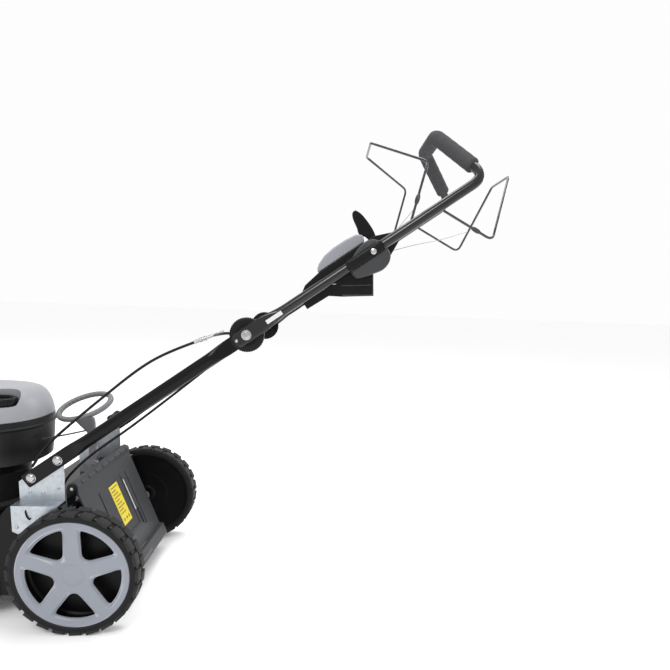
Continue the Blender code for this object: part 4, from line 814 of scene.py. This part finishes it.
def upper_handle():
    """The bent loop with its flattened, rounded ends, and the foam sleeve round its top and legs."""
    flat_y = 0.1859
    straight = [((u, flat_y), (FLAT_H * k, FLAT_B)) for u, k in
                ((-0.0305, 0.30), (-0.0300, 0.55), (-0.0285, 0.75), (-0.0255, 0.92), (-0.022, 1.0))]
    for k in range(13):
        t = k / 12
        straight.append(((0.030 + 0.075 * t, flat_y + (ARM_Y - flat_y) * ease(t)),
                         (FLAT_H + (TUBE_R - FLAT_H) * ease(t), FLAT_B + (TUBE_R - FLAT_B) * ease(t))))
    corners, bend_r = [(0.615, ARM_Y, 0.0), (0.598, 0.075, 0.136), (0.598, 0.0, 0.136)], 0.032
    loop = fillet([(0.150, ARM_Y, 0.0)] + corners, bend_r, 12)
    path = [arm(u, y, 0) for (u, y), _ in straight] + [arm(*p) for p in loop]
    sections = [s for _, s in straight] + [(TUBE_R, TUBE_R)] * len(loop)
    handle = loft("look_upper_handle", mirrored(section_rings(path, sections)))
    finish(handle, GLOSS_PAINT, "handle", smooth=50, replaces=("upper_handle",))

    bend = fillet(corners, bend_r, 12)
    dense = [bend[0].lerp(bend[1], k / 80) for k in range(80)] + bend[1:-1]
    dense += [bend[-2].lerp(bend[-1], k / 10) for k in range(11)]
    sleeve = [p for p in dense if p.y <= 0.157]
    radii = []
    for point in sleeve:
        near = (point - sleeve[0]).length
        radii.append(0.0113 + 0.0055 * math.sqrt(ease(near / 0.006)) + 0.00018 * math.sin(point.y * 420))
    foam = loft("look_foam_grip", mirrored(section_rings([arm(*p) for p in sleeve], [(r, r) for r in radii],
                                                         36)))
    finish(foam, FOAM, "handle", smooth=60, replaces=("foam_grip",))


def bail(name, pivot_u, corner, top, top_half, eye):
    """Plated wire bow with a flattened, pierced joint where its cable hooks on."""
    bail_y = ARM_Y - TUBE_R - 0.003 - 0.003
    stub = ARM_Y - TUBE_R - GAP
    half = [(pivot_u, stub, 0.0), (pivot_u, bail_y - 0.001, 0.0), (corner[0], bail_y, corner[1]),
            (top[0], top_half, top[1]), (top[0], 0.0, top[1])]
    path = [arm(*p) for p in fillet(half, 0.016, 8)]
    bow = tube("bow", mirrored_line(path), 0.0029, 16)
    lean = Vector((corner[0] - pivot_u, 0, corner[1])).normalized()
    centre = Vector((pivot_u, -bail_y, 0)) + lean * eye
    square = Vector((-lean.z, 0, lean.x))
    outline = [centre + lean * 0.013 * math.cos(a) + square * 0.0052 * math.sin(a)
               for a in round_angles(28)]
    plate = slab("eye", [arm(p.x, p.y - 0.0022, p.z) for p in outline], (0, 0.0044, 0))
    round_edges(plate, 0.0012, 2, 40)
    hook = [centre + lean * 0.006 + Vector((0, 0.004, 0)), centre + lean * 0.006 - Vector((0, 0.0035, 0)),
            centre - lean * 0.004 - Vector((0, 0.0045, 0)), centre - lean * 0.018 + Vector((0, 0.002, 0))]
    catch = tube("catch", [arm(*p) for p in smooth_path(hook, 0.002)], 0.0010, 12)
    finish(joined(f"look_{name}", bow, plate, catch), WIRE, name, smooth=40,
           replaces=(name,))


def toothed(name, side, low, levels, turn_by):
    """Disc with small teeth round its edge, pushed outwards through levels."""
    points = 4 * TEETH
    outline = []
    for i in range(points):
        a = math.tau * (i + turn_by) / points
        r = DISC_R - TOOTH_DEPTH * (0.5 + 0.5 * math.cos(a * TEETH))
        outline.append(arm(r * math.cos(a), side * low, r * math.sin(a)))
    return grown(name, outline, arm(0, side * low, 0), outwards(side, *levels))


def lower_handles():
    """Oval tubes flattened at both ends, each with its toothed disc, and the angle joint's bolt."""
    for label, side in SIDES:
        flat_y = 0.171
        stations = [(-0.600, END_Y, 0.0150, 0.0036), (-0.5985, END_Y, 0.0163, FOOT_B),
                    (-0.480, END_Y, FLAT_H, FOOT_B)]
        for k in range(1, 11):
            t = ease(k / 10)
            stations.append((-0.480 + 0.055 * k / 10, END_Y + (ARM_Y - END_Y) * t, FLAT_H - 0.0025 * t,
                             FOOT_B + 0.0055 * t))
        for k in range(9):
            t = ease(k / 8)
            stations.append((-0.100 + 0.050 * k / 8, ARM_Y + (flat_y - ARM_Y) * t, 0.0140 + 0.0025 * t,
                             0.0095 - 0.0065 * t))
        stations += [(u, flat_y, FLAT_H * k, FLAT_B) for u, k in
                     ((0.010, 1.0), (0.0135, 0.93), (0.016, 0.78), (0.0175, 0.6), (0.018, 0.5))]
        path = [arm(u, side * y, 0) for u, y, _, _ in stations]
        shaft = loft("shaft", section_rings(path, [(h, b) for _, _, h, b in stations]))
        disc = toothed("disc", side, 0.1733, ((0.0006, 1.01), (0.0038, 1.0), (0.0006, 0.99)), 0)
        finish(joined(f"look_lower_handle_{label}", shaft, disc), BLACK_PAINT, "chassis", smooth=50,
               replaces=(f"lower_handle_{label}",))
        disc = toothed(f"look_angle_disc_{label}", side, 0.1786,
                       ((0.0034, 1.0), (0.0006, 0.97), (0.0, 0.62), (-0.0008, 0.96)), 2)
        finish(disc, SATIN_BLACK, "handle", smooth=35,
               replaces=(f"angle_disc_{label}",))
        knob = [(0.0, 0.1616), (0.0075, 0.1616), (0.0075, 0.1674), (0.0040, 0.1674), (0.0040, 0.1891),
                (0.0110, 0.1891), (0.0110, 0.1898), (0.0078, 0.1900), (0.0076, 0.1916), (0.0060, 0.1928),
                (0.0, 0.1932)]
        bolt = turned_outwards(f"look_angle_bolt_{label}", knob, side, arm(0, 0, 0), 36)
        socket = [arm(0.0036 * math.cos(a), side * 0.1919, 0.0036 * math.sin(a)) for a in round_angles(6)]
        cut(bolt, slab("socket", socket, (0, side * 0.004, 0)))
        finish(bolt, CHROME, "handle", bevel=0.0002, smooth=30,
               replaces=(f"angle_bolt_{label}",))
        for place, u in FOOT_BOLTS:
            screw(f"look_bracket_screw_{place}_{label}", arm(u, side * (END_Y + 0.0041), 0), (0, side, 0),
                  0.0086, 0.0046, CHROME, "chassis")
        screw(f"look_rivet_{label}", arm(-0.025, side * 0.1889, 0.001), (0, side, 0), 0.0026, 0.0014,
              CHROME, "handle")
        if side < 0:
            strip = [arm(0.052, -0.1898, -0.006), arm(0.092, -0.1913, -0.006), arm(0.092, -0.1913, 0.003),
                     arm(0.052, -0.1898, 0.003)]
            finish(slab("look_blank_label", strip, (0, 0.0012, 0)), PAPER, "handle")


def throttle():
    """Thumb lever: a curved fin with rounded edges on its hub."""
    fin = [(0.3575, 0.1030), (0.3490, 0.1020), (0.3430, 0.0920), (0.3402, 0.0780), (0.3385, 0.0660),
           (0.3352, 0.0560), (0.3365, 0.0460), (0.3440, 0.0400), (0.3490, 0.0200), (0.3480, 0.0020),
           (0.3560, -0.0085), (0.3645, 0.0000), (0.3660, 0.0260), (0.3685, 0.0450), (0.3675, 0.0700),
           (0.3640, 0.0900)]
    fine = smooth_path([arm(u, -0.0615, w) for u, w in fin + fin[:1]], 0.002)[:-1]
    lever = slab("look_throttle_lever", fine, (0, 0.011, 0))
    finish(lever, SATIN_BLACK, "throttle_lever", bevel=0.0022, segments=3,
           replaces=("throttle_lever",))


def console():
    """Covers that clasp the tubes, the box's beads and dial, and the tray's grey rim."""
    for label, side in SIDES:
        drop = [(0.263, -0.018), (0.270, -0.031), (0.302, -0.041), (0.326, -0.045), (0.346, -0.038),
                (0.357, -0.022), (0.352, 0.006), (0.340, 0.021), (0.318, 0.025), (0.290, 0.016),
                (0.266, 0.000)]
        fine = smooth_path([arm(u, side * (CONSOLE_HALF + GAP), w) for u, w in drop + drop[:1]],
                           0.0025)[:-1]
        middle = sum(fine, Vector()) / len(fine)
        cheek = grown("cheek", fine, middle, outwards(side, (0.026, 1.0), (0.004, 0.985), (0.0025, 0.965),
                                                      (0.0015, 0.93), (0.0003, 0.6)))
        strap = turned_block(f"look_tube_strap_{label}", arm(0.308, side * 0.1925, 0.0),
                             (0.092, 0.016, 0.025), (0, -TILT, 0))
        apply(strap, "BEVEL", width=0.0070, segments=5)
        finish(strap, SATIN_BLACK, "handle", smooth=60)
        finish(joined(f"look_tube_cover_{label}", cheek), CHARCOAL, "handle", smooth=30,
               replaces=(f"tube_cover_{label}",))
        screw(f"look_cover_screw_{label}", arm(0.327, side * 0.2004, -0.002), (0, side, 0), 0.0050, 0.0030,
              CHROME, "handle")
        knob = [(0.0, 0.1598), (0.0125, 0.1598), (0.0125, 0.1612), (0.0112, 0.1616), (0.0108, 0.1608),
                (0.0070, 0.1606), (0.0064, 0.1622), (0.0, 0.1626)]
        dial = turned_outwards(f"look_console_dial_{label}", knob, side, arm(0.226, 0, -0.003), 48)
        finish(dial, SATIN_BLACK, "handle", smooth=30)
        arc = [arm(0.226 + 0.0118 * math.cos(a), side * 0.1614, -0.003 + 0.0118 * math.sin(a))
               for a in (math.radians(150 + 110 * k / 12) for k in range(13))]
        finish(tube(f"look_dial_mark_{label}", arc, 0.0008, 12), PAPER, "handle", smooth=60)
        edge = [arm(u, side * 0.1603, w) for u, w in ((0.222, -0.043), (0.279, -0.0795), (0.304, -0.040))]
        bead = tube("bead", fillet(edge, 0.006, 6), 0.0012, 12)
        ridge = tube("ridge", [arm(u, side * 0.1601, w) for u, w in ((0.231, -0.024), (0.260, -0.042),
                                                                     (0.288, -0.059))],
                     0.0010, 12)
        finish(joined(f"look_box_bead_{label}", bead, ridge), CHARCOAL, "handle", smooth=60)

    outline = [(0.204, 0.0265), (0.326, 0.0265), (0.331, 0.041), (0.318, 0.0505), (0.290, 0.0535),
               (0.262, 0.0535), (0.236, 0.050), (0.216, 0.042), (0.206, 0.034)]
    lid = slab("look_console_rim", [arm(u, -CONSOLE_HALF, w) for u, w in outline], (0, 2 * CONSOLE_HALF, 0))
    round_edges(lid, 0.0045, 4, 20)
    inner = CONSOLE_HALF - 0.028
    hole = [arm(0.220, -inner, 0.01), arm(0.320, -inner, 0.01), arm(0.320, inner, 0.01),
            arm(0.220, inner, 0.01)]
    opening = slab("opening", hole, arm(0, 0, 0.06) - arm(0, 0, 0))
    cut(lid, opening)
    finish(lid, COVER_GREY, "handle", bevel=0.0009, segments=2, smooth=30,
           replaces=("console_rim",))


# ---------------------------------------------------------------- cables and cord

def cables():
    """Sheathed cables that run along the left arm and bend past the angle joint."""
    routes = {
        "drive": (0.0031, [(-0.128, -0.156, 0.345), (-0.085, -0.160, 0.402), (0.030, -0.158, 0.505),
                           (0.140, -0.156, 0.592), (0.245, -0.154, 0.642), (0.300, -0.152, 0.660)],
                  [(0.0, -0.150, 0.0), (0.050, -0.150, -0.008), (0.100, -0.148, -0.012),
                   (0.1397, -0.146, -0.012)]),
        "brake": (0.0029, [(-0.070, -0.146, 0.290), (-0.052, -0.144, 0.322), (0.000, -0.143, 0.372),
                           (0.090, -0.142, 0.440), (0.180, -0.141, 0.512), (0.280, -0.140, 0.595)],
                  [(0.0, -0.139, 0.0), (0.050, -0.139, -0.008), (0.100, -0.138, -0.012),
                   (0.1397, -0.137, -0.012)]),
    }
    for name, (radius, low, high) in routes.items():
        path = smooth_path([axle(*p) for p in low] + [arm(*p) for p in high], 0.005)
        cable = finish(tube(f"look_{name}_cable", path, radius, 16), HOSE, None, smooth=60,
                       replaces=(f"{name}_cable_lower", f"{name}_cable_upper"))
        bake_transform(cable)
    run = smooth_path([axle(*p) for p in routes["drive"][1]], 0.002)
    spot = next(i for i, p in enumerate(run) if p.x > axle(0.236, 0, 0).x)
    start, direction = run[spot], (run[spot + 12] - run[spot]).normalized()
    profile = [(0.0029, 0.0), (0.0042, 0.001), (0.0042, 0.014), (0.0056, 0.0145), (0.0056, 0.019),
               (0.0040, 0.0195), (0.0040, 0.024), (0.0056, 0.0245), (0.0056, 0.0285), (0.0036, 0.029),
               (0.0036, 0.046), (0.0029, 0.047)]
    barrel = laid(turned("look_cable_adjuster", profile, "Z", (0, 0, 0), 32), start, direction)
    finish(barrel, CHROME, "chassis", bevel=0.0002, smooth=30)
    side = direction.orthogonal().normalized()
    other = direction.cross(side)
    coil = []
    for k in range(181):
        a = math.tau * k / 18
        round_it = side * math.cos(a) + other * math.sin(a)
        coil.append(start + direction * (0.048 + 0.022 * k / 180) + round_it * 0.0034)
    finish(tube("look_cable_spring", coil, 0.0006, 8), CHROME, "chassis", smooth=60)
    for name, points in (("drive", ((0.380, -0.020, -0.020), (0.430, -0.075, -0.040),
                                    (0.480, -0.118, -0.062), (0.528, -0.157, -0.078))),
                         ("brake", ((0.388, -0.150, 0.006), (0.420, -0.156, 0.016),
                                    (0.452, -0.161, 0.026)))):
        pull = [arm(*p) for p in points]
        inner = finish(tube(f"look_{name}_wire", smooth_path(pull, 0.01), 0.0007, 8), CHROME, None,
                       smooth=60)
        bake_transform(inner)


def starter():
    """The rope from the shroud, its guide, and the T-handle on the cord that pulls out."""
    start, end = axle(-0.1575, -0.050, 0.380), axle(-0.080, 0.146, 0.368)
    pull = Vector((0.60, -0.15, 0.78)).normalized()
    way = (end - start).normalized()
    cord = smooth_path([start, start.lerp(end, 0.5) - Vector((0, 0, 0.002)), end - way * 0.010], 0.006)
    finish(tube("look_starter_cord", cord, 0.0020, 12), BRAID, "chassis", smooth=60,
           replaces=("starter_rope",))
    eye = [(0.0024, -0.006), (0.0085, -0.006), (0.0085, 0.008), (0.0080, 0.011), (0.0066, 0.0132),
           (0.0045, 0.0138), (0.0028, 0.0130), (0.0024, 0.010)]
    guide = laid(turned("look_rope_guide", eye, "Z", (0, 0, 0), 40), end, pull)
    finish(guide, SATIN_BLACK, "chassis", smooth=40, replaces=("rope_guide",))
    run = [end + pull * t for t in (0.002, 0.006, 0.010, 0.014, 0.018, 0.024)]
    rope = finish(tube("look_pull_cord", run, 0.0019, 12), BRAID, None, smooth=60)
    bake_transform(rope)
    foot = end + pull * 0.0143
    across = Vector((0, 1, 0))
    across = (across - pull * across.dot(pull)).normalized()
    top = foot + pull * 0.024
    path, radii = [], []
    for k in range(25):
        t = (k - 12) / 12
        path.append(top + across * 0.030 * t)
        radii.append(0.0085 * (1 - 0.10 * math.cos(abs(t) * 4.2) - 0.10) * math.sqrt(max(0.02,
            1 - abs(t) ** 8)))
    stem = [foot + pull * 0.024 * k / 8 for k in range(9)]
    grip = joined("look_starter_handle", tube("bar", path, radii, 24),
                  tube("stem", stem, [0.0056, 0.0062, 0.0060, 0.0056, 0.0054, 0.0054, 0.0058, 0.0064,
                                      0.0064], 24))
    finish(grip, SATIN_BLACK, "starter_handle", smooth=50,
           replaces=("starter_handle",))


# ---------------------------------------------------------------- height lever and flap

def height_lever():
    """Ring grip, ribbed inside, on a neck that widens into it, with its hub."""
    pitch, roll = math.radians(14), math.radians(30)
    half_length, half_width, thick = 0.066, 0.045, 0.0064
    long_axis = Vector((math.cos(pitch), 0, math.sin(pitch)))
    short_axis = Vector((0, math.cos(roll), math.sin(roll)))
    normal = long_axis.cross(short_axis).normalized()
    middle = axle(*RING)
    rings = []
    for i in range(160):
        a = math.tau * i / 160
        out = (long_axis * math.cos(a) + short_axis * math.sin(a)).normalized()
        centre = middle + long_axis * half_length * math.cos(a) + short_axis * half_width * math.sin(a)
        ring = []
        for j in range(20):
            b = math.tau * j / 20
            c, s = math.cos(b), math.sin(b)
            rib = 0.0013 if (i % 5 < 2 and c < -0.2) else 0.0
            ring.append(centre + out * (thick - rib) * squared_off(c, 0.75)
                        + normal * thick * squared_off(s, 0.75))
        rings.append(ring)
    hoop = loft("hoop", rings, closed=True)
    foot = middle - short_axis * half_width
    base = axle(*LEVER)
    path = smooth_path([base, base + Vector((0.002, 0, 0.050)), base + Vector((0.008, -0.006, 0.075)),
                        foot + long_axis * 0.012], 0.004)
    rings = []
    for k, point in enumerate(path):
        t = k / (len(path) - 1)
        wide = 0.0095 + 0.0165 * ease((t - 0.62) / 0.38)
        deep = 0.0040 + 0.0022 * ease((t - 0.3) / 0.5)
        rings.append([point + Vector((wide * squared_off(math.cos(a), 0.5),
                                      deep * squared_off(math.sin(a), 0.5), 0))
                      for a in (math.tau * (j + 0.5) / 28 for j in range(28))])
    neck = loft("neck", rings)
    hub = turned("hub", [(0.0046, -0.0060), (0.0155, -0.0060), (0.0160, -0.0055), (0.0160, 0.0055),
                         (0.0155, 0.0060), (0.0046, 0.0060)], "Y", base, 40)
    finish(joined("look_height_lever", hoop, neck, hub), LEVER_GREY, "height_lever", smooth=45,
           replaces=("height_lever",))


def on_flap(y, along, out):
    """A point on the guard: across, down along it, and out of its rear face."""
    run, drop = math.sin(FLAP_SLOPE), math.cos(FLAP_SLOPE)
    return axle(FLAP[0] + 0.0078 + along * run + out * drop, y, FLAP[1] - along * drop + out * run)


def patch(name, y0, y1, a0, a1, low, high):
    """A block on the guard between two widths, two distances down it and two levels."""
    corners = [on_flap(y0, a0, low), on_flap(y0, a1, low), on_flap(y1, a1, low), on_flap(y1, a0, low)]
    return slab(name, corners, on_flap(0, 0, high) - on_flap(0, 0, low))


def rear_flap():
    """The guard with its rolled top, pocket, grooves, slot and notches, and what is fixed to it."""
    t, length, r = 0.004, 0.272, 0.013
    roll = [axle(FLAP[0] + r * math.cos(math.radians(a)), -FLAP_HALF,
                 FLAP[1] + r * math.sin(math.radians(a)))
            for a in range(20, 250, 12)]
    edge = roll + [on_flap(-FLAP_HALF, a, o) for a, o in (
        (0.020, -t), (length - 0.020, -t), (length - 0.004, -t - 0.004), (length, 0.002), (length, 0.010),
        (length - 0.030, 0.010), (length - 0.036, 0.0), (0.012, 0.0))]
    flap = slab("look_rear_flap", edge, (0, 2 * FLAP_HALF, 0))
    cut(flap, patch("pocket", -0.035, 0.055, 0.045, 0.185, -0.0016, 0.02))
    cut(flap, patch("groove", -0.085, -0.079, 0.045, 0.205, -0.0020, 0.02))
    cut(flap, patch("groove", 0.086, 0.092, 0.045, 0.205, -0.0020, 0.02))
    cut(flap, patch("slot", 0.070, 0.079, 0.150, 0.196, -0.02, 0.02))
    for k in range(8):
        cut(flap, turned_block("notch", axle(FLAP[0] + 0.0125, -0.140 + 0.040 * k, FLAP[1] + 0.006),
                               (0.006, 0.0042, 0.020), (math.radians(14), math.radians(-26), 0)))
    cut(flap, turned("bore", [(0, -0.3), (0.004, -0.3), (0.004, 0.3), (0, 0.3)], "Y",
                     axle(FLAP[0], 0, FLAP[1]), 24))
    finish(flap, CHARCOAL, "rear_flap", bevel=0.0007, smooth=35,
           replaces=("rear_flap",))

    label = patch("look_flap_label", -0.026, 0.026, 0.052, 0.160, -0.0016, -0.0011)
    finish(label, LABEL, "rear_flap", smooth=30)
    bars = []
    for k in range(9):
        down = 0.058 + 0.0088 * k
        bars.append(patch("bar", -0.020, 0.020 - 0.008 * ((k * 5) % 3), down, down + 0.0032, -0.0012,
                          -0.0009))
    for y in (-0.014, 0.002, 0.016):
        ring = [on_flap(y + 0.0042 * math.cos(a), 0.147 + 0.0042 * math.sin(a), -0.0012)
                for a in round_angles(20)]
        bars.append(slab("dot", ring, on_flap(0, 0, 0.0003) - on_flap(0, 0, 0)))
    finish(joined("look_label_bars", *bars), LABEL_BARS, "rear_flap", smooth=30)

    lip = [on_flap(-0.045, 0.236, 0.0), on_flap(-0.045, 0.266, 0.0098), on_flap(0.035, 0.266, 0.0098),
           on_flap(0.035, 0.236, 0.0)]
    clip = slab("look_flap_clip", lip, on_flap(0, 0, 0.0022) - on_flap(0, 0, 0))
    finish(clip, MID_GREY, "rear_flap", bevel=0.0007)
    ribs = [patch("rib", y - 0.0015, y + 0.0015, 0.020, 0.235, -0.0095, -0.0035) for y in (-0.150, -0.118,
        0.118, 0.150)]
    finish(joined("look_flap_ribs", *ribs), CHARCOAL, "rear_flap", bevel=0.0005)
    strip = patch("look_flap_strip", 0.060, 0.0635, 0.060, 0.150, -0.0002, 0.0008)
    finish(strip, PAPER, "rear_flap", bevel=0.0002)


# ---------------------------------------------------------------- the frame's own pieces

def frame_pieces():
    """The pieces of the frame that stay as they are, with their surface and the width of their edges."""
    surfaces = {
        "deck": (BLACK_PAINT, 0.0022), "front_cradle": (BLACK_PAINT, 0.0010),
        "front_nose": (CHARCOAL, 0.0016), "front_axle": (STEEL, 0.0005), "rear_axle": (STEEL, 0.0006),
        "drive_gearbox": (CAST, 0.0018), "drive_belt": (BELT, 0.0006), "crankshaft": (STEEL, 0.0004),
        "flywheel": (CAST, 0.0008), "blade": (STEEL, 0.0005), "blade_bolt": (CHROME, 0.0005),
        "crankcase": (CASE_BLACK, 0.0014), "cylinder": (CAST, 0.0006), "muffler": (STEEL, 0.0020),
        "air_filter": (SATIN_BLACK, 0.0020), "recoil_starter": (SATIN_BLACK, 0.0012),
        "oil_dipstick": (SATIN_BLACK, 0.0008), "height_quadrant": (ZINC, 0.0005),
        "flap_rod": (STEEL, 0.0003), "console": (SATIN_BLACK, 0.0022),
    }
    for label, _ in SIDES:
        surfaces[f"handle_bracket_{label}"] = (ZINC, 0.0006)
        surfaces[f"bracket_bolts_{label}"] = (CHROME, 0.0006)
    for name, (surface, bevel) in surfaces.items():
        dress(name, surface, bevel)


def brackets():
    """Rivets, and the small hook in its slot, on each handle bracket."""
    for label, side in SIDES:
        face = END_Y - FOOT_B - GAP
        for k, (x, z) in enumerate(((-0.128, 0.290), (-0.100, 0.288), (-0.066, 0.300))):
            screw(f"look_bracket_rivet_{label}_{k}", axle(x, side * (face + 0.0001), z), (0, side, 0),
                  0.0034, 0.0016, ZINC, "chassis")
        out = 0.205 + GAP + 0.003
        screw(f"look_tail_rivet_{label}", axle(-0.141, side * (out + 0.0001), 0.222), (0, side, 0), 0.0036,
              0.0018, CHROME, "chassis")
        hook = [axle(-0.120, side * (out - 0.001), 0.262), axle(-0.120, side * (out + 0.0016), 0.258),
                axle(-0.117, side * (out + 0.0020), 0.247), axle(-0.112, side * (out + 0.0016), 0.241),
                axle(-0.110, side * (out - 0.0005), 0.244)]
        finish(tube(f"look_bracket_hook_{label}", smooth_path(hook, 0.002), 0.0014, 12), SATIN_BLACK,
               "chassis", smooth=60)


deselect()
SCREW_HEAD = screw_master()
wheels()
engine()
upper_handle()
bail("drive_bail", 0.500, (0.564, -0.124), (0.700, -0.028), 0.066, 0.096)
bail("brake_bail", 0.425, (0.531, 0.093), (0.467, 0.207), 0.066, 0.060)
lower_handles()
console()
throttle()
cables()
starter()
height_lever()
rear_flap()
brackets()
frame_pieces()
bpy.data.objects.remove(SCREW_HEAD)


# ---------------------------------------------------------------- studio

def studio():
    """White floor and surroundings, with three soft lamps."""
    bpy.ops.mesh.primitive_plane_add(size=30, location=(0, 6, 0))
    floor = bpy.context.object
    floor.name = "floor"
    pale = bpy.data.materials.new("pale_floor")
    pale.use_nodes = True
    pale.node_tree.nodes["Principled BSDF"].inputs["Base Color"].default_value = (0.97, 0.97, 0.97, 1)
    pale.node_tree.nodes["Principled BSDF"].inputs["Roughness"].default_value = 0.9
    floor.data.materials.append(pale)

    world = bpy.data.worlds.new("studio")
    bpy.context.scene.world = world
    bpy.context.scene.view_settings.view_transform = "Standard"
    world.use_nodes = True
    back = world.node_tree.nodes["Background"]
    back.inputs["Color"].default_value = (0.985, 0.985, 0.985, 1)
    back.inputs["Strength"].default_value = 1.0

    def lamp(name, place, aim, size, power):
        data = bpy.data.lights.new(name, "AREA")
        data.shape = "RECTANGLE"
        data.size, data.size_y = size
        data.energy = power
        hung = placed(name, data)
        hung.location = place
        hung.rotation_mode = "QUATERNION"
        hung.rotation_quaternion = (Vector(aim) - Vector(place)).to_track_quat("-Z", "Y")
    lamp("key", (-0.6, -2.6, 3.0), (0.1, 0, 0.4), (1.8, 1.2), 60)
    lamp("top", (0.4, 0.6, 3.4), (0.1, 0, 0.3), (2.4, 1.6), 55)
    lamp("rim", (2.6, 1.6, 1.8), (0.1, 0, 0.5), (1.2, 1.8), 28)


def camera():
    """A view from the left, nearly square on, a little above the height of the angle joint."""
    yaw, pitch, roll = (math.radians(a) for a in (3.3368, -9.2987, 2.1350))
    ahead = Vector((math.sin(yaw) * math.cos(pitch), math.cos(yaw) * math.cos(pitch), math.sin(pitch)))
    right = Vector((math.cos(yaw), -math.sin(yaw), 0))
    up = right.cross(ahead)
    level = right * math.cos(roll) + up * math.sin(roll)
    upright = up * math.cos(roll) - right * math.sin(roll)
    data = bpy.data.cameras.new("side_view")
    data.sensor_width = 36.0
    data.lens = 29.296
    data.shift_x, data.shift_y = -0.03075, 0.0740
    data.clip_start, data.clip_end = 0.05, 100
    view = placed("side_view", data)
    view.matrix_world = Matrix((
        (level.x, upright.x, -ahead.x, 0.40394), (level.y, upright.y, -ahead.y, -1.38180),
        (level.z, upright.z, -ahead.z, 0.75492), (0, 0, 0, 1)))
    bpy.context.scene.camera = view


studio()
camera()
